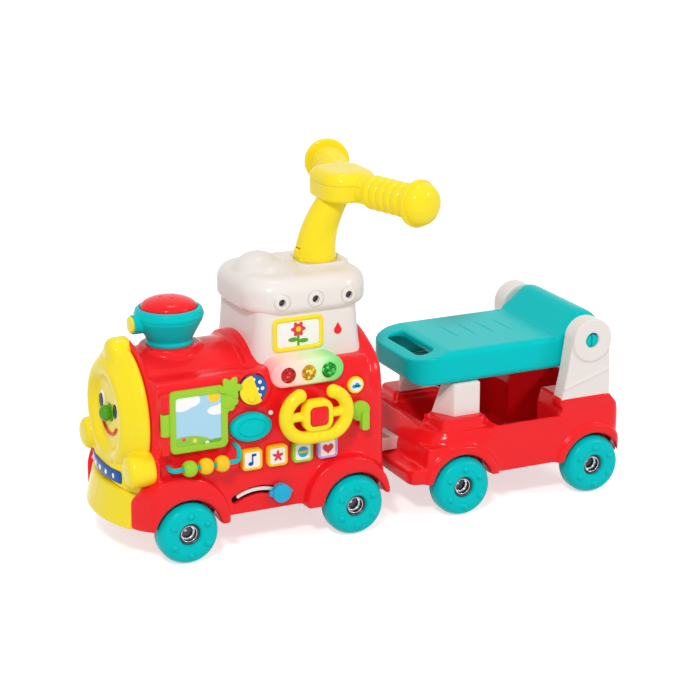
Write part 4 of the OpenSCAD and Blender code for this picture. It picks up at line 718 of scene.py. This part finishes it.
def engine_body():
    """The two body halves as one red moulding with round edges, its wheel arches, button holes and
    slider slot cut clean."""
    fill = [boiler_fill(-298.5, 7, 154, 92), boiler_fill(-166, 7, 161, 92),
            block((-296.5, -93, 150), (-20, -60, 213))]
    raised = [lip(DIAL_AT, 21.6, 2.5, 2.4), lip(ROUND_AT, 14.6, 2.2, 2.2),
              facing_panel(rectangle(70, 12, 5), edge_rows(-4, 3.2, 0, 2.4), -243, 112)]
    cuts = arches(LOCO_AXLES) + [
        block((-60, -46, 64), (30, 46, 93)),
        facing_panel(ellipse(27.5, 18.5), [(0, -14), (0, 8)], *OVAL_AT),
        rod(11.5, -13, 9, on_panel(ROUND_AT), -Y, X),
        rod(18.9, -1.5, 9, on_panel(DIAL_AT), -Y, X)]
    cuts += [facing_panel(rectangle(28, 28, 5.4), [(0, -13), (0, 8)], *at) for at in SQUARES_AT]
    cuts.append(facing_panel(slider_slot(5.5, 30), [(0, -7), (0, 8)], *SLOT_AT))
    fused("engine_body", ["loco_shell_near", "loco_shell_far"], fill + raised, 2.0, 4, cuts, 42,
          "red_body",
          [(lambda q: ramp(np.abs(q[:, 1]), 93, 97) * ramp(q[:, 2], 128, 116), 14),
           (lambda q: ramp(q[:, 0], -14, -2) * ramp(q[:, 2], 70, 100), 45),
           (lambda q: ramp(q[:, 0], -302, -310) * ramp(q[:, 2], 116, 104), 30)])
    # a near-black sheet in the slot: painted shade in the gap
    printed("slider_channel", slider_slot(5.3, 29.6), [(0, -6.9), (0, -6)], SLOT_AT, ENGINE, "slot_painted_shade")
    printed("slider_strip", slider_slot(2.6, 25), edge_rows(-6.2, -2.2, 0, 0.8), SLOT_AT, ENGINE,
            "white_plastic")


def hinge_barrels():
    """The red barrels over and under the door's knuckle: a round profile turned about the hinge."""
    for name, z0, z1 in (("hinge_barrel_upper", 195.2, 219.0), ("hinge_barrel_lower", 142.0, 165.8)):
        profile = softened([(0, z0), (5.6, z0), (5.6, z1), (0, z1)], 1.6)
        foot = block((-294.6, -99, z0 + 1.5), (-286.4, -92, z1 - 1.5))
        piece(name, [turned(profile, (-290, -99.9, 0), Z, X, 40), foot], ENGINE, (), "red_plastic")


# Front of the engine

FLANGE_X, FLOOR_X, FACE_Z = -301.0, -324.4, 171.0


def bowed(y, z, r=154.0):
    """A point on the bowed front: X falls away on a circle about a centre behind the nose."""
    return (-185.5 - math.sqrt(r * r - y * y), y, z)


def front_plate(outline, rows, y, z):
    """A stacked form that faces forward from the floor of the face."""
    return stacked(outline, rows, (FLOOR_X, y, z), -Y, Z, -X)


def train_front():
    """The yellow face ring, its bump and the side drums as one moulding; two plain ovals with dark
    centres and a curved stripe on its floor; the cowcatcher and the bare blue plate with a row of
    dots."""
    band = softened([(48, 2), (87, 2), (86.5, 7), (80, 15.5), (72.5, 23), (65, 29), (57, 31.6),
                     (48.5, 29.5), (43.5, 22)], 4, 5, True)
    drum = softened([(0, 0), (20.6, 0), (20.6, 33), (0, 34)], [0, 0, 9, 0], 9)
    bump = softened([(0, 0), (21, 0), (20.4, 25), (0, 28)], [0, 0, 11, 0], 9)
    parts = [hoop((FLANGE_X, 0, FACE_Z), -X, Y, band), turned(bump, (-300, 0, 245.2), -X, Y, 64)]
    parts += [turned(drum, (FLANGE_X, side * 79, 120), -X, Y, 64) for side, tag in SIDES]
    fused("face_ring", ["face_mask"], parts, 1.25, 4)
    fused("cowcatcher_scoop", ["cowcatcher"], [], 1.2, 18, finish="yellow_scoop")
    moulded("name_plate", 1.6, 3)
    dots = [ball(bowed(y, 102.0), (1.0, 3.4, 3.4), 12, 24) for y in (-36.0, -18.0, 0.0, 18.0, 36.0)]
    piece("plate_dots", dots, ENGINE, (), "pale_print")
    for side, tag in SIDES:
        y = side * 25.0
        white = front_plate(ellipse(8.8, 12.2), edge_rows(-1, 1.4, 0, 0.8, 0.8), y, 181)
        piece("face_lamp_" + tag, [white], ENGINE, (), "pale_print")
        dark = front_plate(ellipse(6.0, 9.0), edge_rows(1.2, 2.9, 0, 0.6), y, 180)
        piece("face_lamp_centre_" + tag, [dark], ENGINE, (), "black_print")
    t = np.linspace(-0.95, 0.95, 40)
    path = np.stack([np.full(40, FLOOR_X - 0.8), 29 * np.sin(t), 172 - 28 * np.cos(t)], 1)
    piece("face_stripe", [piped(path, 2.0, X, 20)], ENGINE, (), "coral_print")


def nose():
    """The green nose: a stem in its hole and a flattened ball, turned about one axis."""
    t = np.linspace(-0.6, 0.5 * np.pi, 28)
    ball_rows = np.stack([10.2 * np.cos(t), 6.6 + 8.0 * np.sin(t)], 1).tolist()
    rows = [(0, -6), (10.5, -6), (10.5, 0.9), (10.0, 1.5), (9.0, 1.8)] + ball_rows
    piece("nose_ball", [turned(rows, (-323.5, 0, FACE_Z), -X, Y)], "nose", ["nose_button"],
          "green_plastic")


def chimney():
    """Funnel with its lamp tube as one moulding, the press dome with three dimples and the lamp
    lens."""
    x = -244
    foot = [hoop((x, 0, 252.5), Z, X, oval_loop(28.0, 2.0, 2.6))]
    fused("funnel", ["chimney_funnel"], foot, 1.1, 3)
    skirt = [(0, 274), (20, 274), (34.0, 290), (34.8, 296)]
    cap = [(34.8 * math.cos(k), 297 + 13 * math.sin(k)) for k in np.linspace(0, np.pi / 2, 24)]
    dome = piece("press_dome", [turned(skirt + cap, (x, 0, 0), Z, X)], "dome", ["chimney_dome"],
                 "red_plastic")
    carved(dome, [ball((x + 10 * math.cos(k), 10 * math.sin(k), 310.4), (2.4, 2.4, 2.2), 14, 24)
                  for k in (0.6, 2.7, 4.8)])
    moulded("chimney_lamp", 1.4, 3)


# Cab and handle

def cab():
    """Tower and roof as round-edged mouldings, the plaque with its flower, the drop lens and the
    signal with three lenses. The tower is a stack of plans that flare towards its foot, each row
    giving a height and what it adds in X and Y."""
    flare = np.array([(226, 4.6, 2.4), (231, 3.8, 1.2), (238, 2.8, 0.3), (250, 1.4, 0), (264, 0.2, 0),
                      (280, -1.0, 0), (296, -1.6, -0.6)])
    plan = np.stack([rectangle(141 + 2 * a, 136 + 2 * b, 19) for z, a, b in flare]) + (-84, 0)
    P = np.concatenate([plan, np.broadcast_to(flare[:, :1, None], plan.shape[:2] + (1,))], 2)
    fused("tower", ["cab_tower"], [weave(capped(P))], 1.4, 2, copied=False)
    shells = [slab(168, 152, 46, edge_rows(288, 332, 11, 20), -80.5, 0),
              ball((-108, -4, 320), (44, 40, 23)), ball((-122, 5, 320), (34, 37, 32))]
    stem_well = rod(27.6, 0, 40, (-46, 0, 322), Z, X)
    plate = slab(68, 66, 15, edge_rows(329, 336, 0, 1.8), -44, 0)
    carved(piece("stem_collar", [plate], ENGINE, (), "white_plastic"), [stem_well])
    wells = [stem_well]
    for x in (-125, -80, -35):
        for side, tag in SIDES:
            at, out = (x, side * 76, 305.6), side * Y
            shells.append(rod(9.6, -9, 0.9, at, out, X, 64))
            wells += [rod(4.8, -6, 8, at, out, X, 48), hoop(at, out, X, oval_loop(10.4, 0.8, 1.5), 64)]
    fused("roof", ["cab_roof"], shells, 1.3, 4, wells,
          soft=[(lambda q: ramp(q[:, 2], 333, 338), 40)], copied=False)
    moulded("roof_screws", 0.5, 2)
    plaque()
    moulded("drop_lens", 1.2, 3)
    capsule = facing_panel(rectangle(97, 33, 16.4), edge_rows(-26, 6.0, 0, 4.0, 0.8), *LAMPS_AT[1])
    # the capsule's clear finish carries a painted glow
    piece("signal_capsule", [capsule], ENGINE, ["signal_panel"], "clear_lens")
    dome = [(0, 3.0), (10.2, 3.0), (10.2, 6.2)] + [(9.6 * math.cos(k), 6.6 + 3.0 * math.sin(k))
                                                 for k in np.linspace(0, np.pi / 2, 14)]
    for k, glass in enumerate(("red_lens", "amber_lens", "green_lens")):
        piece(f"signal_lens_{k + 1}", [turned(dome, on_panel(LAMPS_AT[k]), -Y, X, 64)], ENGINE,
              ["signal_lenses"] if k == 0 else (), glass)


def plaque():
    """The yellow frame on the tower, its card and a flower of stem, leaves, petals and eye."""
    y, middle, head = -68.0, (PLAQUE_X, 262), (PLAQUE_X, 268)
    rows = [(0, -1), (0, 0.6), (0.3, 1.6), (1.6, 2.6), (3.4, 2.6), (5.0, 1.8), (5.4, 1.0)]
    piece("plaque_frame", [facing_panel(rectangle(68, 43, 7), rows, *middle, y)], ENGINE,
          ["picture_plaque"], "yellow_plastic")
    printed("plaque_card", rectangle(56.5, 31.5, 4), edge_rows(0.4, 1.4, 0, ROUND_EDGE), middle, ENGINE,
            "pale_print", y)
    stem = [facing_panel(rectangle(3.2, 15, 1.5), edge_rows(1.2, 1.9, 0, ROUND_EDGE), PLAQUE_X, 254, y)]
    stem += [facing_panel(ellipse(6.5, 2.8), edge_rows(1.2, 1.8, 0, ROUND_EDGE), x, z, y)
             for x, z in ((-94, 252.5), (-108, 255))]
    piece("plaque_stem", stem, ENGINE, (), "green_plastic")
    printed("plaque_petals", petals(8.2, 0.2, 6), edge_rows(1.3, 2.2, 0, 0.3), head, ENGINE,
            "coral_print", y)
    printed("plaque_eye", ellipse(3.4, 3.4), edge_rows(2, 2.8, 0, 0.3), head, ENGINE,
            "orange_plastic", y)


def handle():
    """Stem as a tube that leans back and thins upwards, head as one moulding with a seam, and two
    grips turned about the bar with broad ribs, a flange and a domed end."""
    u = np.linspace(-0.16, 1.0, 60)
    path = np.stack([-46 + 30 * u * np.abs(u), 0 * u, 335 + 80 * u], 1)
    stem = piece("stem", [piped(path, 27 - 9 * np.clip(u, 0, 1), Y, 96)], ENGINE, ["handle_stem"],
                 "yellow_plastic")
    carved(stem, [block((-80, -6.6, 337.4), (-61, 6.6, 352))])
    moulded("stem_latch", 1.6, 3)
    swept = {side: 0.2857 * X + side * 0.9583 * Y for side, tag in SIDES}
    bar = [slab(72, 88, 30, edge_rows(411, 447.5, 5, 13), -8, 0)]
    bar += [rod(19.6, 0, 50, (-7.2, 0, 427), swept[side], Z) for side, tag in SIDES]
    fused("handle_bar_head", ["handle_head"], bar, 1.2, 8, finish="yellow_head", copied=False)
    s = np.linspace(54, 132, 141)
    ribs = 18.8 + 2.9 * np.abs(np.sin((s - 54) / 78 * 6 * np.pi)) ** 0.6
    flange = softened([(20.0, 133.0), (29.6, 133.0), (29.6, 140.6), (26.6, 140.6), (26.6, 142.0)],
                      [0, 2.6, 2.8, 0.5, 0]).tolist()
    profile = ([(0, 49), (18.5, 49), (18.8, 53)] + list(zip(ribs, s)) + [(20.0, 132.4)] + flange
               + [(27.0 * math.cos(k) ** 0.9, 142.2 + 18.4 * math.sin(k))
                  for k in np.linspace(0, np.pi / 2, 22)])
    for side, tag in SIDES:
        piece("grip_" + tag, [turned(profile, (-7.2, 0, 426), swept[side], Z)], ENGINE,
              ["handle_grips"] if tag == "near" else (), "yellow_plastic")


# Play panel

def leaf(points, depth, reach, turn, x, z):
    """A leaf's outline: its radius swells into points, and shrinks on the side of its stalk."""
    t = turns(200)
    swell = 1 + depth * np.abs(np.cos(points * t / 2)) ** 1.5
    tail = 1 - 0.45 * np.exp(-((t - np.pi) / 0.5) ** 2)
    r = reach * swell * tail / (1 + depth)
    return np.stack([x + r * np.cos(t + turn), z + r * np.sin(t + turn)], 1)


def door():
    """Lime door frame with its knuckle, the printed picture in it, and two leaves on its corner."""
    moulded("door_leaf", 1.5, 3)
    moulded("door_picture", 0.2, 1)
    for name, outline, low, high in (("upper", leaf(6, 0.5, 15.5, 1.1, -205, 214.5), 5.6, 8.4),
                                     ("lower", leaf(4, 0.3, 12.5, -0.5, -206.5, 201), 4.6, 7.2)):
        printed("door_leaf_" + name, outline, edge_rows(low, high, 0, 1.0, 0.8), (0, 0), "door",
                "lime_plastic")


def beads():
    """Three barrel beads turned about the rod, the middle radius a little over the ends."""
    moulded("bead_rod", 0.3, 1)
    outer = [(10.2 - 1.2 * k * k, 5.0 * k) for k in np.linspace(-1, 1, 15)]
    loop = softened([(3.0, -7.9), (6.8, -7.9)] + outer + [(6.8, 7.9), (3.0, 7.9)],
                    [0, 1.0] + [0.6] * 15 + [1.0, 0], 5)
    for node, x in (("bead_front", -264), ("bead_middle", -243), ("bead_rear", -222)):
        piece("barrel_" + node, [hoop((x, -111, 124.5), X, Y, loop, 72)], BODY[node], [node], SLOT[node])


def dial():
    """Blue disc with printed dots behind a yellow flap with a scalloped edge and a round knob."""
    disc = softened([(0, 0.2), (18.3, 0.2), (18.3, 3.0), (0, 3.0)], 0.5)
    piece("dial_disc", [turned(disc, on_panel(DIAL_AT), -Y, X)], ENGINE, ["dial_back"], "dial_print")
    fused("dial_shutter", ["dial_flap"], [], 0.7, 2)


def buttons():
    """Press buttons: domed caps in their holes, with printed faces."""
    step = [(0, -8), (0, 5.6), (0.3, 6.8), (1.1, 8.0), (2.4, 8.8), (4.0, 9.3), (4.0, 9.6, 0.92),
            (4.0, 9.5, 0.84), (4.0, 8.9, 0.8), (4.0, 10.4, 0.75), (4.0, 10.75, 0.6), (4.0, 10.9, 0.4),
            (4.0, 11.0, 0.2)]
    piece("oval_cap", [facing_panel(ellipse(27, 18), step, *OVAL_AT)], "oval", ["oval_button"],
          "teal_plastic")
    cap = [(0, -7)] + softened([(11, -7), (11, 3.6), (0, 4.8)], 1.6).tolist()
    piece("round_cap", [turned(cap, on_panel(ROUND_AT), -Y, X)], "round", ["round_button"],
          "yellow_plastic")
    face = [(0, 4.0), (8.2, 4.0), (8.2, 4.2), (0, 5.0)]
    piece("round_face", [turned(face, on_panel(ROUND_AT), -Y, X)], "round", (), "pale_print")
    puff = [facing_panel(ellipse(a, b), edge_rows(4.5, 5.1, 0, 0.1), x, z) for x, z, a, b in
            ((-38, 193.2, 3.2, 2.4), (-34.6, 194.6, 3.0, 3.0), (-32, 193, 2.6, 2.0))]
    piece("round_icon", puff, "round", (), "cyan_plastic")
    rim = [(0, -7), (0, 4.4), (0.3, 5.4), (1.3, 6.0), (2.4, 6.0), (3.1, 5.6), (3.2, 5.0)]
    for k, at in enumerate(SQUARES_AT, 1):
        node = f"square_button_{k}"
        piece(f"square_cap_{k}", [facing_panel(rectangle(27, 27, 5), rim, *at)], BODY[node], [node],
              SLOT[node])
        printed(f"square_face_{k}", rectangle(20.4, 20.4, 3), edge_rows(4.6, 5.5, 0, ROUND_EDGE), at,
                BODY[node], "pale_print")
    t = turns(120)
    star = petals(5.2, 2.2 / 5.2, 5, 120) @ np.array([[0, 1], [-1, 0]])
    heart = 0.46 * np.stack([16 * np.sin(t) ** 3, 13 * np.cos(t) - 5 * np.cos(2 * t)
                             - 2 * np.cos(3 * t) - np.cos(4 * t)], 1)[::-1]
    mark = edge_rows(5.2, 6.0, 0, 0.15)
    note = [facing_panel(outline, mark, x, z) for outline, x, z in (
        (ellipse(3.2, 2.4), -179.4, 113.6), (rectangle(1.8, 13, 0.6), -176.9, 119.5),
        (rectangle(6, 3.2, 1.4), -174.8, 124.6))]
    piece("icon_note", note, "square_1", (), "blue_plastic")
    printed("icon_star", star, mark, SQUARES_AT[1], "square_2", "coral_print")
    printed("icon_ball", ellipse(7, 7), mark, SQUARES_AT[2], "square_3", "cyan_plastic")
    printed("icon_ball_band", rectangle(12.6, 3, 1), edge_rows(5.8, 6.3, 0, 0.1), SQUARES_AT[2],
            "square_3", "orange_plastic")
    printed("icon_heart", heart, mark, (-75, 118), "square_4", "coral_print")


def controls():
    """Steering rim and spokes as one moulding, the horn pad, the shift lever, the slider knob with
    two ears and the small lens."""
    low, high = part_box("horn_button")
    side = (high[0] - low[0]) / MM
    hole = side + 0.9
    hub = [facing_panel(rectangle(40, 40, 13), edge_rows(14, 28.9, 2, 4), *STEER_AT)]
    well = [facing_panel(rectangle(hole, hole, 0.25 * side), [(0, 15), (0, 40)], *STEER_AT)]
    fused("steering_rim", ["steering_wheel"], hub, 1.0, 4, well)
    pad = edge_rows(18.6, 30.4, 0, 3.2, 1.0)
    piece("horn_pad", [facing_panel(rectangle(side, side, 0.24 * side), pad, *STEER_AT)], "horn",
          ["horn_button"], "red_plastic")
    fused("lever_arm", ["shift_lever"], [], 0.8, 4)
    ear = [facing_panel(ellipse(12, 12), edge_rows(0.4, 9.2, 0.6, 2.6, 0.6), *KNOB_AT),
           facing_panel(rectangle(31, 8, 3.6), edge_rows(0.4, 6.6, 0.6, 1.8), *KNOB_AT)]
    fused("slider_button", ["slider_knob"], ear, 0.7, 3)
    moulded("indicator_lens", 1.0, 3, "pale_print")


# Wheels

def wheels():
    """Eight wheels turned about their axles, each with a round shoulder, a deep hub well lined with a
    dark steel cup as painted shade, and six low bumps that are balls set into the face."""
    outer = softened([(0, 11), (13.4, 11), (13.6, 28), (15.5, 31.5), (25, 32.4), (34.5, 31.0), (39, 21),
                      (39, 8), (36.5, 1.2), (30, 0.6), (0, 0.6)],
                     [0, 1.2, 2.4, 2.4, 6, 9, 9, 4, 3, 1, 0], 8)
    well = softened([(0, 12), (13.2, 12), (13.2, 18), (12.9, 27), (12.2, 27.4), (11.3, 26.6),
                     (11.2, 14), (0, 13.4)], [0, 0.3, 0.3, 0.4, 0.4, 0.5, 1.0, 0], 6)
    spokes = [25.0 * (math.cos(k) * X + math.sin(k) * Z) for k in np.arange(6) * np.pi / 3 + np.pi / 6]
    names = ("loco_wheel_front", "loco_wheel_rear", "wagon_wheel_front", "wagon_wheel_rear")
    for name, x in zip(names, LOCO_AXLES + WAGON_AXLES):
        for side, tag in SIDES:
            node, along = f"{name}_{tag}", side * Y
            centre = np.array([x, side * 82.0, AXLE_Z])
            bumps = [ball(centre + along * 31.0 + k, (4.6, 4.4, 4.6), 16, 32) for k in spokes]
            piece("tyre_" + node, [turned(outer, centre, along, X)] + bumps, BODY[node], [node],
                  "teal_plastic")
            # the hub cup's darker steel is painted shade inside the hub well
            piece("hub_cup_" + node, [turned(well, centre, along, X, 64)], BODY[node], (), "hub_painted_shade")


# Wagon

def brow():
    """The tub's front: a stack of plans whose front draws back and whose corners widen with height."""
    rows = []
    for k in np.linspace(0, 1, 16):
        front, half, corner = 60 + 16 * k ** 3, 103.8 - 7 * k ** 6, 76 + 14 * k
        plan = softened([(front, -half), (166, -half), (166, half), (front, half)],
                        [corner, 0.5, 0.5, corner], 24, True)
        rows.append(np.insert(spaced(plan, 240), 2, 60 + 50 * k, axis=1))
    return weave(capped(np.stack(rows)))


def wagon():
    """Tub, posts and seat as round-edged mouldings. Collars stand under the posts, a ledge runs along
    the tub's rim, a seam crosses each rear post, and short grooves cross the seat."""
    cuts = arches(WAGON_AXLES)
    cuts += [block((86, -39, 57), (170, 39, 140)), block((30, -20.6, 69.4), (66, 20.6, 87.6))]
    trim = [block((x0, y0, 109), (x1, y1, 126)) for x0, x1, y0, y1 in
            ((50, 93, -112, 112), (90, 161, -42, 42), (90, 161, -112, -80), (90, 161, 80, 112))]
    added, foot = [brow()], []
    wedge = spaced(softened([(258, 131), (331, 131), (329.5, 196), (272.5, 196)], 3, 6, True), 160)
    for side, tag in SIDES:
        rim_y = side * 101.6
        added += [slab(76, 27, 7, edge_rows(124, 135, 0, 3), 294, side * 92),
                  slab(66, 49, 9, edge_rows(86, 124.5, 0, 4), 123, side * 67),
                  piped(straight((162, rim_y, 108.5), (258, rim_y, 108.5), 30), 4.0, Z, 24)]
        foot += [stacked(wedge, [(0, k - side * 92.5) for k in (-11.5, 11.5)], (0, 0, 0), X, Z, -Y),
                 piped(straight((263, side * 104.0, 148), (328, side * 104.0, 168), 20), 1.7, Y, 16)]
    fused("tub", ["wagon_tub"], added, 1.8, 4, cuts, 42, trim=trim,
          soft=[(lambda q: ramp(np.abs(q[:, 1]), 99, 103) * ramp(q[:, 2], 104, 98), 10)])
    fused("drawbar_arm", ["drawbar"], [], 0.9, 4)
    fused("front_post_pair", ["front_posts"], [], 1.3, 5)
    fused("rear_post_pair", ["rear_posts"], foot, 1.2, 4)
    grooves = [ball((x, 6, 211.3), (1.3, 30, 1.3)) for x in (150, 176, 202, 228)]
    grooves.append(piped(straight((266.0, -70, 211.6), (266.0, 70, 211.6), 20), 1.3, Z, 16))
    grooves += [block((300.1, side * 102 - 5, 190), (301.9, side * 102 + 5, 230)) for side, tag in SIDES]
    fused("seat_lid", ["seat"], [], 1.5, 5, grooves,
          soft=[(lambda q: ramp(q[:, 2], 218, 230), 90),
                (lambda q: ramp(q[:, 2], 213, 222) * ramp(np.abs(q[:, 1]), 60, 74), 60)])


def axles():
    """Steel axles from their solids, each pressed cap with a tapered bore."""
    bore = [(0, 95.5), (7.4, 95.5), (8.2, 105), (9.6, 107), (9.6, 115), (0, 115)]
    for node, places in (("loco_axles", LOCO_AXLES), ("wagon_axles", WAGON_AXLES)):
        carved(moulded(node, 0.6, 2), [turned(bore, (x, 0, AXLE_Z), side * Y, X, 64)
                                       for x in places for side, tag in SIDES])


def inner_parts():
    """What lies inside or underneath, from its solids with small round edges."""
    for node in ("loco_base", "circuit_board", "speaker", "battery_door", "batteries", "coupling_pin"):
        moulded(node, 0.6, 2)


for build in (engine_body, hinge_barrels, train_front, nose, chimney, cab, handle, door, beads, dial,
              buttons, controls, wheels, wagon, inner_parts, axles):
    build()


# Stage, light and camera

def seen_directly(tree):
    """One for rays from the camera, a reflection or a clear piece, and zero for rays that light."""
    path = tree.nodes.new("ShaderNodeLightPath").outputs
    seen = math_node(tree, "ADD", path["Is Camera Ray"], path["Is Glossy Ray"])
    return math_node(tree, "ADD", seen, path["Is Transmission Ray"], True)


def stage_floor():
    """A wide pale floor that goes to white where the camera sees it unshaded."""
    data = bpy.data.meshes.new("floor")
    reach = 14.0
    data.from_pydata([(-reach, -reach, 0), (reach, -reach, 0), (reach, reach, 0),
                      (-reach, reach, 0)], [], [(0, 1, 2, 3)])
    made = placed("floor", data)
    pale, tree, shader, bump = finish_nodes("pale_floor")
    light = math_node(tree, "MULTIPLY", seen_directly(tree), 0.62)
    supply(tree, shader, {"Base Color": (0.84, 0.84, 0.84, 1), "Roughness": 0.9,
                          "Specular IOR Level": 0.1, "Emission Color": (1, 1, 1, 1),
                          "Emission Strength": light})
    data.materials.append(pale)


def stage_world():
    """An even pale sky for light, white where the camera or a reflection sees it."""
    world = bpy.data.worlds.new("studio")
    scene.world = world
    world.use_nodes = True
    tree = world.node_tree
    level = math_node(tree, "ADD", math_node(tree, "MULTIPLY", seen_directly(tree), 0.5), 0.5)
    supply(tree, tree.nodes["Background"], {"Color": (1, 1, 1, 1), "Strength": level})


def aimed(name, data, place, target):
    """A lamp or camera at a place, turned to a target."""
    made = placed(name, data)
    made.location = place
    made.rotation_euler = (Vector(target) - Vector(place)).to_track_quat("-Z", "Y").to_euler()
    return made


def softbox(name, place, width, power):
    """A square area light at a place, turned to the middle of the train."""
    lamp = bpy.data.lights.new(name, "AREA")
    lamp.size = width
    lamp.energy = power
    aimed(name, lamp, place, (0, 0, 0.2))


def photo_camera():
    """The photograph's viewpoint: a long lens in front of the play side, a little above."""
    lens = bpy.data.cameras.new("photo_camera")
    lens.lens = 115.95
    lens.sensor_width = 36.0
    scene.camera = aimed("photo_camera", lens, (-1.1870, -2.49314, 1.0708), (0.0027, 0.0, 0.20722))


stage_floor()
stage_world()
softbox("key_light", (-1.6, -2.2, 2.6), 0.4, 50)
softbox("fill_light", (2.2, -1.8, 1.8), 0.4, 17)
softbox("top_light", (0.2, 0.6, 2.8), 0.6, 7)
photo_camera()
